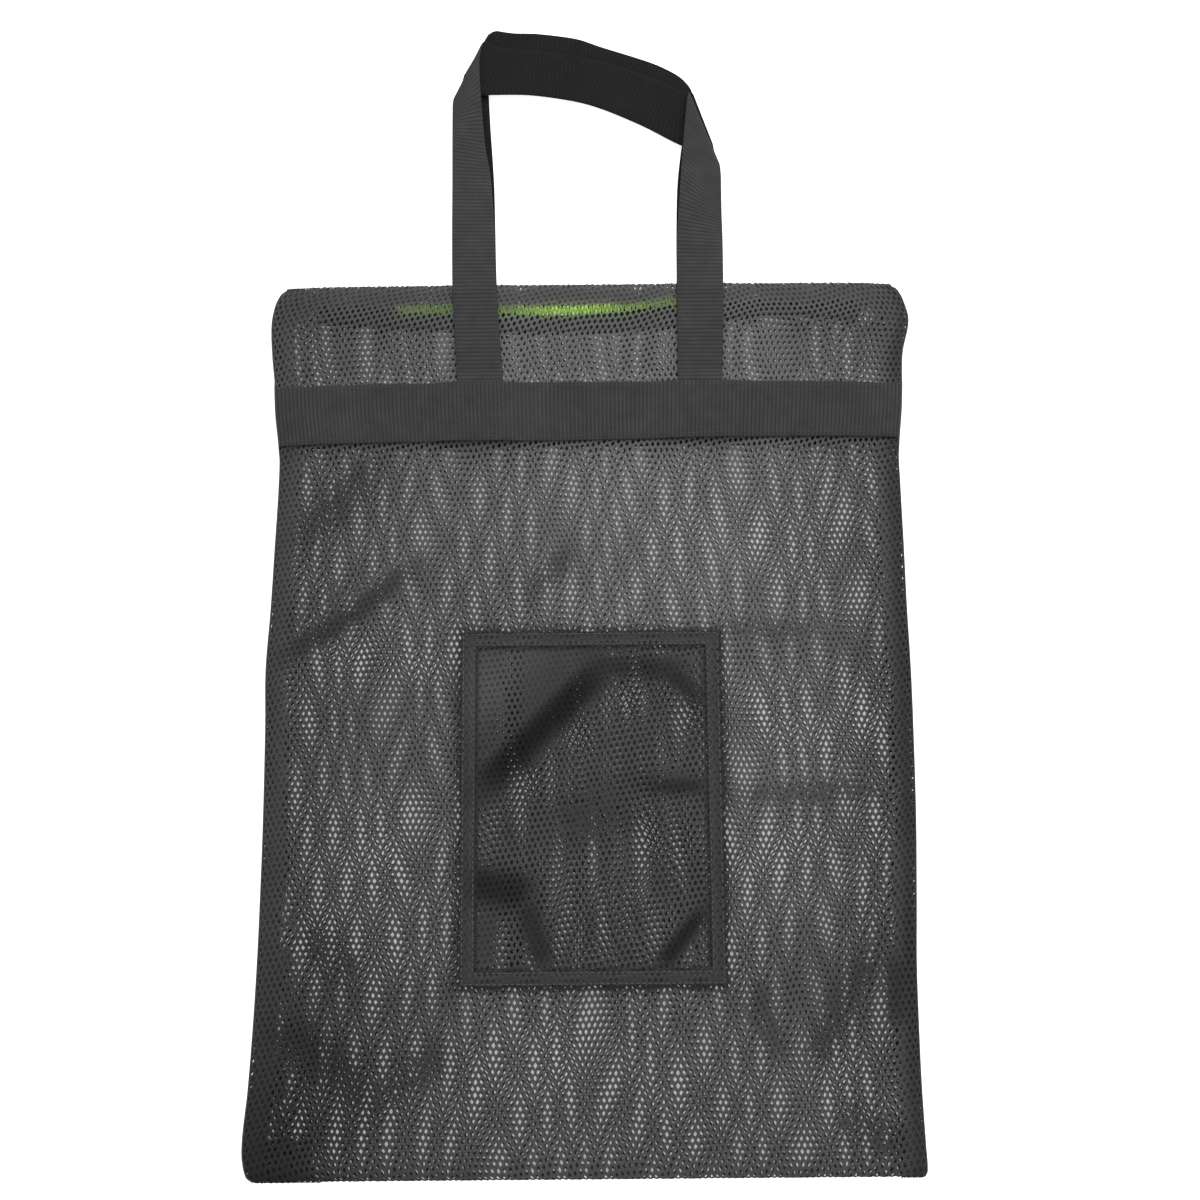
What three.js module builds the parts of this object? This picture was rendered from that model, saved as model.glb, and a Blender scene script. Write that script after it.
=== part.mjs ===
// A flat tote bag of open mesh with a patch pocket, a webbing band, webbing handles and a zip.
// The bag lies on its back: X runs across it, Y from the bottom fold towards the handles,
// Z up from the surface it lies on. Sizes are in millimetres.
import * as THREE from "three";

// The body
const BODY_LENGTH = 475;
const MOUTH_DIP = 3.5;
const MOUTH_RISE = 2;
const CLOTH = 1.2;
const HEM_CLOTH = 2.2;
const HEM_LINE = 451;
const SEAM_WIDTH = 11;
const SEAM_THICKNESS = 4.4;
const SIDE_ROUND = 2.2;
const FOLD_ROUND = 7;
const INNER_FOLD = 4;

// The webbing, and the gap between pieces that touch
const GAP = 0.3;
const WEBBING = 1.4;
const STEP = WEBBING + GAP;
const EDGE = GAP / 2 + 0.35;
const BAND_LOW = 383.2;
const BAND_HIGH = 416;
const BAND_SHOULDER = 7;
const LEG_SHOULDER = 6;
const LEG_RAMP = 9.5;

// The pocket
const POCKET_LEFT = -67.6;
const POCKET_RIGHT = 69.6;
const POCKET_LOW = 96;
const POCKET_HIGH = 278.8;
const POCKET_HEM = 8.5;
const POCKET_CLOTH = 1.1;
const POCKET_HEM_CLOTH = 2;

// The zip
const ZIP_REACH = 150;
const TAPE = 0.7;
const TAPE_WIDTH = 10.8;
const TAPE_SEAT = 0.35;
const COIL = 1.4;
const COIL_WIDTH = 6.4;
const COIL_LEFT = -107;
const COIL_RIGHT = 125;
const SLIDER_X = -113;
const SLIDER_Y = 462;
const SLIDER = 2.6;

// Where the frame's origin lies: the middle of the length over the handles, and of the width
const MIDDLE_Y = 316.2;
const MIDDLE_X = 0.5;

// Side edges at each height above the bottom fold
const OUTLINE = [
  { y: 0, left: -171.5, right: 167.6 },
  { y: 3, left: -175.4, right: 169.2 },
  { y: 16, left: -177.8, right: 168.9 },
  { y: 45, left: -175.6, right: 168.1 },
  { y: 75, left: -174, right: 168 },
  { y: 105, left: -172.9, right: 168.3 },
  { y: 135, left: -172.3, right: 169.6 },
  { y: 180, left: -171.9, right: 171.3 },
  { y: 230, left: -172.2, right: 172 },
  { y: 261, left: -172.9, right: 172 },
  { y: 293, left: -171.2, right: 171.4 },
  { y: 326, left: -170, right: 171.2 },
  { y: 360, left: -168.8, right: 170.8 },
  { y: 381, left: -168.9, right: 170.8 },
  { y: 402, left: -171.4, right: 173 },
  { y: 421, left: -172.7, right: 174.3 },
  { y: 436, left: -174.4, right: 175.4 },
  { y: 454, left: -175.4, right: 179.4 },
  { y: 465, left: -173.8, right: 177.2 },
  { y: 471.5, left: -171, right: 174.2 },
  { y: 475, left: -167.6, right: 170.5 },
];

// How far the front stands up in the middle of the width, and how square its section is
const SWELL = [
  { y: 0, rise: 0, power: 3 },
  { y: 12, rise: 3.4, power: 3 },
  { y: 45, rise: 7.6, power: 3 },
  { y: 140, rise: 8.8, power: 3.4 },
  { y: 260, rise: 8.8, power: 3.4 },
  { y: 350, rise: 8, power: 3.6 },
  { y: 402, rise: 6.6, power: 4.4 },
  { y: 436, rise: 9.9, power: 5 },
  { y: 462, rise: 11.2, power: 6 },
  { y: 475, rise: 11.6, power: 6 },
];

// Folds standing up from the front: the middle of each, its turn from X in degrees, and its size
const BODY_FOLDS = [
  { x: -122, y: 301, turn: 28, long: 95, wide: 9, high: 1.9 },
  { x: -22, y: 316, turn: 42, long: 48, wide: 9, high: 1.1 },
  { x: -140, y: 356, turn: 44, long: 60, wide: 12, high: 1.2 },
  { x: -130, y: 70, turn: -54, long: 95, wide: 13, high: 1.7 },
  { x: -97, y: 55, turn: 50, long: 60, wide: 11, high: 1.5 },
  { x: 125, y: 89, turn: 44, long: 75, wide: 10, high: 1.8 },
  { x: 102, y: 86, turn: -50, long: 50, wide: 10, high: 1.2 },
  { x: 98, y: 284, turn: 0, long: 60, wide: 9, high: 1.1 },
  { x: 114, y: 198, turn: 0, long: 90, wide: 9, high: 1.1 },
];

// Folds of the pocket's own cloth, which buckles between its sewn edges
const POCKET_FOLDS = [
  { x: -33, y: 231, turn: 46, long: 100, wide: 9, high: 3.2 },
  { x: 24, y: 264, turn: -3, long: 60, wide: 8, high: 2.2 },
  { x: 45, y: 202, turn: 0, long: 40, wide: 7, high: 2.4 },
  { x: 10, y: 185, turn: -12, long: 40, wide: 9, high: 1.4 },
  { x: -45, y: 149, turn: 4, long: 40, wide: 10, high: 2.4 },
  { x: -36, y: 122, turn: -79, long: 44, wide: 8, high: 1.8 },
  { x: 40, y: 124, turn: 42, long: 50, wide: 7, high: 1.8 },
];

// Lower edge of the front zip tape, which sags in the middle
const TAPE_SAG = [
  { x: -150, low: 452 },
  { x: -103, low: 447.4 },
  { x: -48, low: 444.4 },
  { x: 8, low: 444.4 },
  { x: 57, low: 447.4 },
  { x: 90, low: 452 },
  { x: 118, low: 452.9 },
  { x: 150, low: 450.5 },
];

// Lower edge of the back zip tape, which lies in a slight wave
const BACK_TAPE_WAVE = [
  { x: -150, low: 456 },
  { x: -90, low: 454.8 },
  { x: -43, low: 454.6 },
  { x: -16, low: 453.6 },
  { x: 6, low: 454.6 },
  { x: 25, low: 456.6 },
  { x: 42, low: 458 },
  { x: 80, low: 458.4 },
  { x: 150, low: 457 },
];

// The handles, section by section from the left end to the right one. Edge a is outermost on the
// legs and edge b innermost; each folds over at a corner, so that b is uppermost on the top stretch.
// A height of on is measured from the body's front, and the others from the surface below.
const FRONT_HANDLE = [
  { ax: -70.6, ay: 386, bx: -45.4, by: 386, on: 1.1 },
  { ax: -70.8, ay: 416, bx: -45.6, by: 416, on: 1.1 },
  { ax: -73.6, ay: 470.5, bx: -49.4, by: 470.5, on: 1.1 },
  { ax: -74.2, ay: 500, az: 14.8, bx: -50.4, by: 500, bz: 14.2 },
  { ax: -74.6, ay: 535, az: 12.4, bx: -53, by: 535, bz: 10.8 },
  { ax: -74.9, ay: 560, az: 11.4, bx: -56.6, by: 558, bz: 9 },
  { ax: -75, ay: 576, az: 10.9, bx: -59, by: 586, bz: 8.6 },
  { ax: -75, ay: 583, az: 9.8, bx: -60, by: 610, bz: 8.8 },
  { ax: -73.6, ay: 587, az: 7.6, bx: -57.6, by: 622.4, bz: 7.2 },
  { ax: -69, ay: 589.4, az: 5.5, bx: -53, by: 621.2, bz: 5.4 },
  { ax: -55, ay: 590.4, az: 4.9, bx: -44, by: 619, bz: 4.9 },
  { ax: -31, ay: 590, az: 4.9, bx: -27, by: 616, bz: 4.9 },
  { ax: -6, ay: 586, az: 4.9, bx: 0, by: 611.2, bz: 4.9 },
  { ax: 11, ay: 580.6, az: 4.9, bx: 19.5, by: 604.6, bz: 4.9 },
  { ax: 32.6, ay: 570.6, az: 4.9, bx: 44, by: 593.6, bz: 4.9 },
  { ax: 50, ay: 560.8, az: 4.9, bx: 57, by: 586, bz: 4.9 },
  { ax: 67, ay: 552.6, az: 5.2, bx: 62, by: 582, bz: 5.2 },
  { ax: 75, ay: 548.6, az: 7.2, bx: 64, by: 577, bz: 7 },
  { ax: 76.4, ay: 544, az: 9.8, bx: 60.6, by: 568, bz: 9 },
  { ax: 76.2, ay: 532, az: 11.4, bx: 54.4, by: 546, bz: 10.2 },
  { ax: 76, ay: 514, az: 13, bx: 51.4, by: 520, bz: 12.2 },
  { ax: 76, ay: 497, az: 15, bx: 50.6, by: 497, bz: 14.8 },
  { ax: 75.6, ay: 470.5, bx: 50, by: 470.5, on: 1.1 },
  { ax: 74, ay: 416, bx: 49.8, by: 416, on: 1.1 },
  { ax: 74, ay: 386, bx: 49.8, by: 386, on: 1.1 },
];
const BACK_HANDLE = [
  { ax: -71.5, ay: 386, az: 2.45, bx: -46.5, by: 386, bz: 2.45 },
  { ax: -71.7, ay: 416.1, az: 2.45, bx: -46.7, by: 416.1, bz: 2.45 },
  { ax: -72, ay: 423.8, az: 0.8, bx: -47, by: 423.8, bz: 0.8 },
  { ax: -74.2, ay: 475, az: 0.8, bx: -50.2, by: 475, bz: 0.8 },
  { ax: -74.8, ay: 535, az: 0.8, bx: -51.8, by: 535, bz: 0.8 },
  { ax: -74.4, ay: 572, az: 1.7, bx: -54.2, by: 574, bz: 1.5 },
  { ax: -72.4, ay: 592, az: 2.7, bx: -55.6, by: 604, bz: 2.6 },
  { ax: -70, ay: 601.5, az: 2.5, bx: -55.6, by: 627, bz: 2.5 },
  { ax: -68, ay: 604.4, az: 1.7, bx: -52, by: 632.2, bz: 1.6 },
  { ax: -63, ay: 605.4, az: 0.85, bx: -46, by: 632, bz: 0.85 },
  { ax: -53, ay: 605.8, az: 0.8, bx: -40, by: 631.2, bz: 0.8 },
  { ax: -31, ay: 605.2, az: 0.8, bx: -26, by: 630.6, bz: 0.8 },
  { ax: -10, ay: 602.4, az: 0.8, bx: -5, by: 627.4, bz: 0.8 },
  { ax: 5, ay: 597.6, az: 0.8, bx: 10, by: 622, bz: 0.8 },
  { ax: 28, ay: 588.8, az: 0.8, bx: 38.4, by: 612, bz: 0.8 },
  { ax: 45, ay: 579, az: 0.8, bx: 52.6, by: 604.6, bz: 0.8 },
  { ax: 60, ay: 570.6, az: 0.85, bx: 58.6, by: 599, bz: 0.85 },
  { ax: 71, ay: 563, az: 1.6, bx: 61.6, by: 593, bz: 1.6 },
  { ax: 73.6, ay: 556, az: 2.6, bx: 60.6, by: 584, bz: 2.6 },
  { ax: 74.6, ay: 545, az: 2.7, bx: 56, by: 565, bz: 2.7 },
  { ax: 75.4, ay: 527, az: 1.4, bx: 52.4, by: 538, bz: 1.4 },
  { ax: 75.6, ay: 505, az: 0.8, bx: 51.2, by: 508, bz: 0.8 },
  { ax: 75.4, ay: 475, az: 0.8, bx: 50.8, by: 475, bz: 0.8 },
  { ax: 74.8, ay: 423.8, az: 0.8, bx: 49.8, by: 423.8, bz: 0.8 },
  { ax: 74.6, ay: 416.1, az: 2.45, bx: 49.6, by: 416.1, bz: 2.45 },
  { ax: 74.6, ay: 386, az: 2.45, bx: 49.6, by: 386, bz: 2.45 },
];
const SECTIONS_PER_ROW = 3;
const LEG_LEAVES_BODY = 470;

// Strips of the width that the handle legs lift: the cloth below or the band above
const LEG_STRIPS = [
  { low: -78, high: -44 },
  { low: 47, high: 80 },
];

// Lines of the panels' grids: distances in from a side edge, positions across, heights along
const SIDE_LINES = [0, 0.65, 2.2, 11, 11.6, 13, 17];
const ACROSS = [
  -146, -125, -104, -84, -78, -69, -60.5, -44, -38, -19, 0, 20, 41, 47, 61.5, 70, 80, 86, 104, 125, 146,
];
const BACK_ACROSS = [-84, -78, -44, -38, 41, 47, 80, 86];
const FOLD_LINES = [0, 0.9, 3, 4, 5.5, 9, 16];
const MOUTH_LINES = [HEM_LINE - 0.4, HEM_LINE + 0.4, 462.5, BODY_LENGTH];
const BAND_LINES = [BAND_LOW - LEG_RAMP, BAND_LOW, 400, BAND_HIGH, BAND_HIGH + BAND_SHOULDER];
const ALONG = [
  ...FOLD_LINES, 32, 55, 75, 96, 104, 128, 152, 176, 200, 224, 248, 270, 278.8, 300, 322, 344, 362,
  ...BAND_LINES, 438, ...MOUTH_LINES,
];
const BACK_ALONG = [...FOLD_LINES, 100, 200, 300, ...BAND_LINES, 438, ...MOUTH_LINES];

const { smoothstep, clamp, lerp, degToRad } = THREE.MathUtils;

// A table's column read at a place along its key column, smoothly from row to row
function lookUp(rows, key, column, at) {
  const last = rows.length - 1;
  const place = clamp(at, rows[0][key], rows[last][key]);
  let i = 0;
  while (i < last - 1 && place > rows[i + 1][key]) i += 1;
  const slope = (k) => {
    const before = rows[Math.max(k - 1, 0)];
    const after = rows[Math.min(k + 1, last)];
    return (after[column] - before[column]) / (after[key] - before[key]);
  };
  const span = rows[i + 1][key] - rows[i][key];
  const t = (place - rows[i][key]) / span;
  const from = (1 + 2 * t) * (1 - t) ** 2 * rows[i][column] + t * (1 - t) ** 2 * span * slope(i);
  const to = t * t * (3 - 2 * t) * rows[i + 1][column] + t * t * (t - 1) * span * slope(i + 1);
  return from + to;
}

// One between low and high, falling to nothing across a shoulder on each side
function shelf(at, low, high, shoulder) {
  return smoothstep(at, low - shoulder, low) * (1 - smoothstep(at, high, high + shoulder));
}

// A quarter round: nothing at zero, one from the radius on
function roundOver(distance, radius) {
  const short = 1 - clamp(distance / radius, 0, 1);
  return Math.sqrt(1 - short * short);
}

function sides(y) {
  return { left: lookUp(OUTLINE, "y", "left", y), right: lookUp(OUTLINE, "y", "right", y) };
}

// How much the handle legs lift what lies over them, as a share of the webbing
function legShare(x) {
  return LEG_STRIPS.reduce((sum, strip) => sum + shelf(x, strip.low, strip.high, LEG_SHOULDER), 0);
}

// Height of a set of folds at a place: each is a ridge that fades at its ends
function foldHeight(folds, x, y) {
  return folds.reduce((height, fold) => {
    const turn = degToRad(fold.turn);
    const along = (x - fold.x) * Math.cos(turn) + (y - fold.y) * Math.sin(turn);
    const across = (y - fold.y) * Math.cos(turn) - (x - fold.x) * Math.sin(turn);
    const fade = 1 - smoothstep(Math.abs(along), 0.3 * fold.long, 0.6 * fold.long);
    return height + fold.high * fade * Math.exp(-((across / fold.wide) ** 2));
  }, 0);
}

// The underside, flat on the surface apart from the webbing below the cloth
function backHeight(x, y) {
  const band = shelf(y, BAND_LOW, BAND_HIGH, BAND_SHOULDER);
  const leg = legShare(x) * smoothstep(y, BAND_LOW - LEG_RAMP, BAND_LOW);
  return STEP * (band + leg);
}

// How far the front has risen towards its middle, from nothing at the side seams to one
function swellShare(x, y) {
  const { left, right } = sides(y);
  const across = clamp(Math.abs((2 * x - left - right) / (right - left)), 0, 1);
  return 1 - across ** lookUp(SWELL, "y", "power", y);
}

// The front without its folds, swelling from the side seams to the middle
function plainFront(x, y) {
  const band = STEP * shelf(y, BAND_LOW, BAND_HIGH, BAND_SHOULDER);
  return band + SEAM_THICKNESS + lookUp(SWELL, "y", "rise", y) * swellShare(x, y);
}

// Folds die out before the sides, the bottom and the band
function frontHeight(x, y) {
  const { left, right } = sides(y);
  const room = Math.min(x - left, right - x);
  const fade = smoothstep(room, 8, 30) * smoothstep(y, 8, 30) * (1 - smoothstep(y, 350, 373));
  return plainFront(x, y) + fade * foldHeight(BODY_FOLDS, x, y);
}

// Positions across one line of a panel's grid
function lineAcross(y, across) {
  const { left, right } = sides(y);
  const rightSide = SIDE_LINES.map((d) => right - d).reverse();
  return [...SIDE_LINES.map((d) => left + d), ...across, ...rightSide];
}

// A panel's grid line bends near the mouth: the front's edge dips and the back's reaches up
function bentLine(x, y, rise) {
  return y + rise * swellShare(x, y) * smoothstep(y, HEM_LINE + 1, BODY_LENGTH);
}

// Mid-height of the side seams and the bottom fold, where the two panels meet
function seamHeight(x, y) {
  return backHeight(x, y) + SEAM_THICKNESS / 2;
}

function fromSide(x, y) {
  const { left, right } = sides(y);
  return Math.min(x - left, right - x);
}

// Nothing at the side seams and the bottom fold, one past their rounded edges
function edgeShare(x, y) {
  return roundOver(fromSide(x, y), SIDE_ROUND) * roundOver(y, FOLD_ROUND);
}

// Nothing over the seam allowances and the bottom fold, one over the hollow of the bag
function hollowShare(x, y) {
  return roundOver(fromSide(x, y) - SEAM_WIDTH, 6) * roundOver(y - INNER_FOLD, 9);
}

function clothAt(y) {
  return y > HEM_LINE ? HEM_CLOTH : CLOTH;
}

// The two faces of the front panel
function frontOuter(x, y) {
  return lerp(seamHeight(x, y) + EDGE, frontHeight(x, y), edgeShare(x, y));
}

function frontInner(x, y) {
  return lerp(seamHeight(x, y) + GAP / 2, plainFront(x, y) - clothAt(y), hollowShare(x, y));
}

// The two faces of the back panel
function backOuter(x, y) {
  return lerp(seamHeight(x, y) - EDGE, backHeight(x, y), edgeShare(x, y));
}

function backInner(x, y) {
  return lerp(seamHeight(x, y) - GAP / 2, backHeight(x, y) + clothAt(y), hollowShare(x, y));
}

// A closed surface through rings of equal length, the first and last closed up to a line
function loft(rings) {
  const count = rings[0].length;
  const corners = [];
  const put = (a, b, c) => {
    const apart = Math.min(a.distanceTo(b), b.distanceTo(c), c.distanceTo(a));
    if (apart > 1e-4) corners.push(a, b, c);
  };
  for (let j = 0; j + 1 < rings.length; j += 1) {
    for (let k = 0; k < count; k += 1) {
      const next = (k + 1) % count;
      put(rings[j][k], rings[j][next], rings[j + 1][next]);
      put(rings[j][k], rings[j + 1][next], rings[j + 1][k]);
    }
  }
  const volume = corners.reduce((sum, a, i) => {
    return i % 3 ? sum : sum + a.dot(new THREE.Vector3().crossVectors(corners[i + 1], corners[i + 2]));
  }, 0);
  if (volume < 0) corners.reverse();
  const geometry = new THREE.BufferGeometry().setFromPoints(corners);
  geometry.computeVertexNormals();
  return geometry;
}

// A ring whose far half lies on its near half, to close the end of a strip
function closedUp(ring) {
  const last = ring.length - 1;
  return ring.map((point, k) => point.clone().lerp(ring[last - k], 0.5));
}

// A strip through rings that each run over the top and back underneath
function strip(rings) {
  return loft([closedUp(rings[0]), ...rings, closedUp(rings[rings.length - 1])]);
}

// Height of the front panel between the lines of its grid
function seat(x, y) {
  const along = ALONG.map((line) => bentLine(x, line, -MOUTH_DIP));
  const cell = (lines, at) => {
    let i = 0;
    while (i < lines.length - 2 && at > lines[i + 1]) i += 1;
    return i;
  };
  const i = cell(ACROSS, x);
  const j = cell(along, y);
  const u = (x - ACROSS[i]) / (ACROSS[i + 1] - ACROSS[i]);
  const v = (y - along[j]) / (along[j + 1] - along[j]);
  const low = lerp(frontHeight(ACROSS[i], along[j]), frontHeight(ACROSS[i + 1], along[j]), u);
  const high = lerp(frontHeight(ACROSS[i], along[j + 1]), frontHeight(ACROSS[i + 1], along[j + 1]), u);
  return lerp(low, high, v);
}

// A panel of the body: a wall of cloth between an upper and a lower face
function panelShape(lines, across, rise, upper, lower) {
  const rings = lines.map((line) => {
    const place = (x, face) => {
      const y = bentLine(x, line, rise);
      return new THREE.Vector3(x, y, face(x, y));
    };
    const xs = lineAcross(line, across);
    const top = xs.map((x) => place(x, upper));
    const below = xs.map((x) => place(x, lower)).reverse();
    return [...top, ...below];
  });
  return strip(rings);
}

// Lines of the pocket's grid: those of the body below, its hems, and lines between
function pocketLines(lines, low, high) {
  const inner = lines.filter((at) => at > low && at < high);
  const base = [low, low + POCKET_HEM, low + POCKET_HEM + 1, high - POCKET_HEM - 1, high - POCKET_HEM, high];
  const all = [...base, ...inner].sort((a, b) => a - b);
  const apart = all.filter((at, i) => i === 0 || at - all[i - 1] > 0.4);
  const between = apart.slice(1).map((at, i) => (at - apart[i] > 14 ? (at + apart[i]) / 2 : at));
  return [...new Set([...apart, ...between])].sort((a, b) => a - b);
}

function pocketShape() {
  const xs = pocketLines(ACROSS, POCKET_LEFT, POCKET_RIGHT);
  const ys = pocketLines(ALONG, POCKET_LOW, POCKET_HIGH);
  const rings = ys.map((y) => {
    const fromEdge = (x) => Math.min(x - POCKET_LEFT, POCKET_RIGHT - x, y - POCKET_LOW, POCKET_HIGH - y);
    const under = (x) => {
      const fade = smoothstep(fromEdge(x), POCKET_HEM, POCKET_HEM + 10);
      return seat(x, y) + GAP + fade * foldHeight(POCKET_FOLDS, x, y);
    };
    const cloth = (x) => (fromEdge(x) < POCKET_HEM + 0.5 ? POCKET_HEM_CLOTH : POCKET_CLOTH);
    const top = xs.map((x) => new THREE.Vector3(x, y, under(x) + cloth(x)));
    const below = xs.map((x) => new THREE.Vector3(x, y, under(x))).reverse();
    return [...top, ...below];
  });
  return strip(rings);
}

// The front band lies on the cloth, and over the handle ends where they are tucked under it
function bandFrontShape() {
  const rings = ALONG.filter((y) => y >= BAND_LOW && y <= BAND_HIGH).map((y) => {
    const xs = lineAcross(y, ACROSS).slice(2, -2);
    const under = (x) => frontOuter(x, y) + GAP + STEP * legShare(x);
    const top = xs.map((x) => new THREE.Vector3(x, y, under(x) + WEBBING));
    const below = xs.map((x) => new THREE.Vector3(x, y, under(x))).reverse();
    return [...top, ...below];
  });
  return strip(rings);
}

// The back band lies flat on the surface, under the cloth
function bandBackShape() {
  const rings = [BAND_LOW, BAND_HIGH].map((y) => {
    const xs = lineAcross(y, BACK_ACROSS).slice(2, -2);
    const top = xs.map((x) => new THREE.Vector3(x, y, WEBBING));
    const below = xs.map((x) => new THREE.Vector3(x, y, 0)).reverse();
    return [...top, ...below];
  });
  return strip(rings);
}

// Handle rows that lie on the body, with one more wherever a line of the front panel's grid crosses
function rowsOnBody(rows) {
  return rows.flatMap((row, i) => {
    const next = rows[i + 1];
    if (!next || !("on" in row) || !("on" in next)) return [row];
    const lines = ALONG.map((line) => bentLine(row.ax, line, -MOUTH_DIP));
    const crossed = lines.filter((y) => (y - row.ay) * (y - next.ay) < 0);
    if (next.ay < row.ay) crossed.reverse();
    const between = crossed.map((y) => {
      const t = (y - row.ay) / (next.ay - row.ay);
      return { ax: lerp(row.ax, next.ax, t), ay: y, bx: lerp(row.bx, next.bx, t), by: y, on: row.on };
    });
    return [row, ...between];
  });
}

// A handle: flat webbing through its sections, which fold over at the two corners
function handleShape(table) {
  const rows = rowsOnBody(table);
  const path = (edge) => {
    const points = rows.map((row) => {
      const x = row[edge + "x"];
      const y = row[edge + "y"];
      return new THREE.Vector3(x, y, "on" in row ? seat(x, y) + row.on : row[edge + "z"]);
    });
    return new THREE.CatmullRomCurve3(points, false, "catmullrom", 0.45);
  };
  const a = path("a");
  const b = path("b");
  const places = rows.flatMap((row, i) => {
    const free = i + 1 < rows.length && Math.min(row.ay, rows[i + 1].ay) > LEG_LEAVES_BODY;
    const shares = free ? [...Array(SECTIONS_PER_ROW).keys()] : [0];
    return shares.map((k) => (i + k / SECTIONS_PER_ROW) / (rows.length - 1));
  });
  const rings = places.map((t) => {
    const outer = a.getPoint(t);
    const inner = b.getPoint(t);
    const across = inner.clone().sub(outer);
    const outerHalf = a.getTangent(t).cross(across).setLength(WEBBING / 2);
    const innerHalf = b.getTangent(t).cross(across).setLength(WEBBING / 2);
    return [
      outer.clone().add(outerHalf),
      inner.clone().add(innerHalf),
      inner.clone().sub(innerHalf),
      outer.clone().sub(outerHalf),
    ];
  });
  return strip(rings);
}

// A strip of the zip along X between two edges, lying on a floor height
function zipStrip(left, right, lowEdge, highEdge, floor, thickness) {
  const lines = [left, ...ACROSS.filter((x) => x > left && x < right), right];
  const rings = lines.map((x) => {
    const corner = (edge, up) => new THREE.Vector3(x, edge(x), floor(x, edge(x)) + up);
    return [corner(lowEdge, thickness), corner(highEdge, thickness), corner(highEdge, 0), corner(lowEdge, 0)];
  });
  return strip(rings);
}

const frontTapeLow = (x) => lookUp(TAPE_SAG, "x", "low", x);
const frontTapeHigh = (x) => frontTapeLow(x) + TAPE_WIDTH;
const frontTapeFloor = (x, y) => Math.min(plainFront(x, y), plainFront(x, 462)) - HEM_CLOTH - TAPE_SEAT - TAPE;
const backTapeLow = (x) => lookUp(BACK_TAPE_WAVE, "x", "low", x);
const backTapeHigh = (x) => backTapeLow(x) + TAPE_WIDTH;
const backTapeFloor = (x) => backHeight(x, BODY_LENGTH) + HEM_CLOTH + TAPE_SEAT;

function tapeShape(lowEdge, highEdge, floor) {
  return zipStrip(-ZIP_REACH, ZIP_REACH, lowEdge, highEdge, floor, TAPE);
}

// The coils lie along the upper edges of the tapes, on the faces that look into the bag
function coilFrontShape() {
  const low = (x) => frontTapeHigh(x) - COIL_WIDTH - 0.6;
  const high = (x) => frontTapeHigh(x) - 0.6;
  const floor = (x, y) => {
    const share = (y - frontTapeLow(x)) / TAPE_WIDTH;
    const tape = lerp(frontTapeFloor(x, frontTapeLow(x)), frontTapeFloor(x, frontTapeHigh(x)), share);
    return tape - GAP - COIL;
  };
  return zipStrip(COIL_LEFT, COIL_RIGHT, low, high, floor, COIL);
}

function coilBackShape() {
  const low = (x) => backTapeHigh(x) - COIL_WIDTH - 0.6;
  const high = (x) => backTapeHigh(x) - 0.6;
  return zipStrip(COIL_LEFT, COIL_RIGHT, low, high, (x) => backTapeFloor(x) + TAPE + GAP, COIL);
}

// The slider, parked at the left end of the coil: a block and its pull in one flat piece
function sliderShape() {
  const outline = new THREE.Shape();
  outline.moveTo(-4.5, -4);
  outline.lineTo(-2.2, -6);
  outline.lineTo(-2.2, -20.8);
  outline.quadraticCurveTo(-2.2, -23, 0, -23);
  outline.quadraticCurveTo(2.2, -23, 2.2, -20.8);
  outline.lineTo(2.2, -6);
  outline.lineTo(4.5, -4);
  outline.lineTo(4.5, 4);
  outline.lineTo(-4.5, 4);
  outline.closePath();
  const shape = new THREE.ExtrudeGeometry(outline, { depth: SLIDER, bevelEnabled: false, curveSegments: 6 });
  return shape.translate(SLIDER_X, SLIDER_Y, backTapeFloor(SLIDER_X) + TAPE + GAP);
}

const LOOKS = {
  mesh: { color: 0x2b2b2c, roughness: 0.75, metalness: 0 },
  webbing: { color: 0x333335, roughness: 0.8, metalness: 0 },
  tape: { color: 0x161617, roughness: 0.9, metalness: 0 },
  coil: { color: 0x9fce3a, roughness: 0.45, metalness: 0 },
  slider: { color: 0x2a2a2c, roughness: 0.4, metalness: 0.6 },
};

function piece(name, geometry, look) {
  const mesh = new THREE.Mesh(geometry, new THREE.MeshStandardMaterial(LOOKS[look]));
  mesh.name = name;
  return mesh;
}

const bag = new THREE.Group();
bag.add(
  piece("mesh_front", panelShape(ALONG, ACROSS, -MOUTH_DIP, frontOuter, frontInner), "mesh"),
  piece("mesh_back", panelShape(BACK_ALONG, BACK_ACROSS, MOUTH_RISE, backInner, backOuter), "mesh"),
  piece("pocket", pocketShape(), "mesh"),
  piece("band_front", bandFrontShape(), "webbing"),
  piece("band_back", bandBackShape(), "webbing"),
  piece("handle_front", handleShape(FRONT_HANDLE), "webbing"),
  piece("handle_back", handleShape(BACK_HANDLE), "webbing"),
  piece("zip_tape_front", tapeShape(frontTapeLow, frontTapeHigh, frontTapeFloor), "tape"),
  piece("zip_tape_back", tapeShape(backTapeLow, backTapeHigh, backTapeFloor), "tape"),
  piece("zip_coil_front", coilFrontShape(), "coil"),
  piece("zip_coil_back", coilBackShape(), "coil"),
  piece("zip_slider", sliderShape(), "slider"),
);
bag.position.set(-MIDDLE_X, -MIDDLE_Y, 0);

export default bag;
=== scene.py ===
import math

import bpy
import numpy as np
from mathutils import Matrix, Vector


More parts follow.
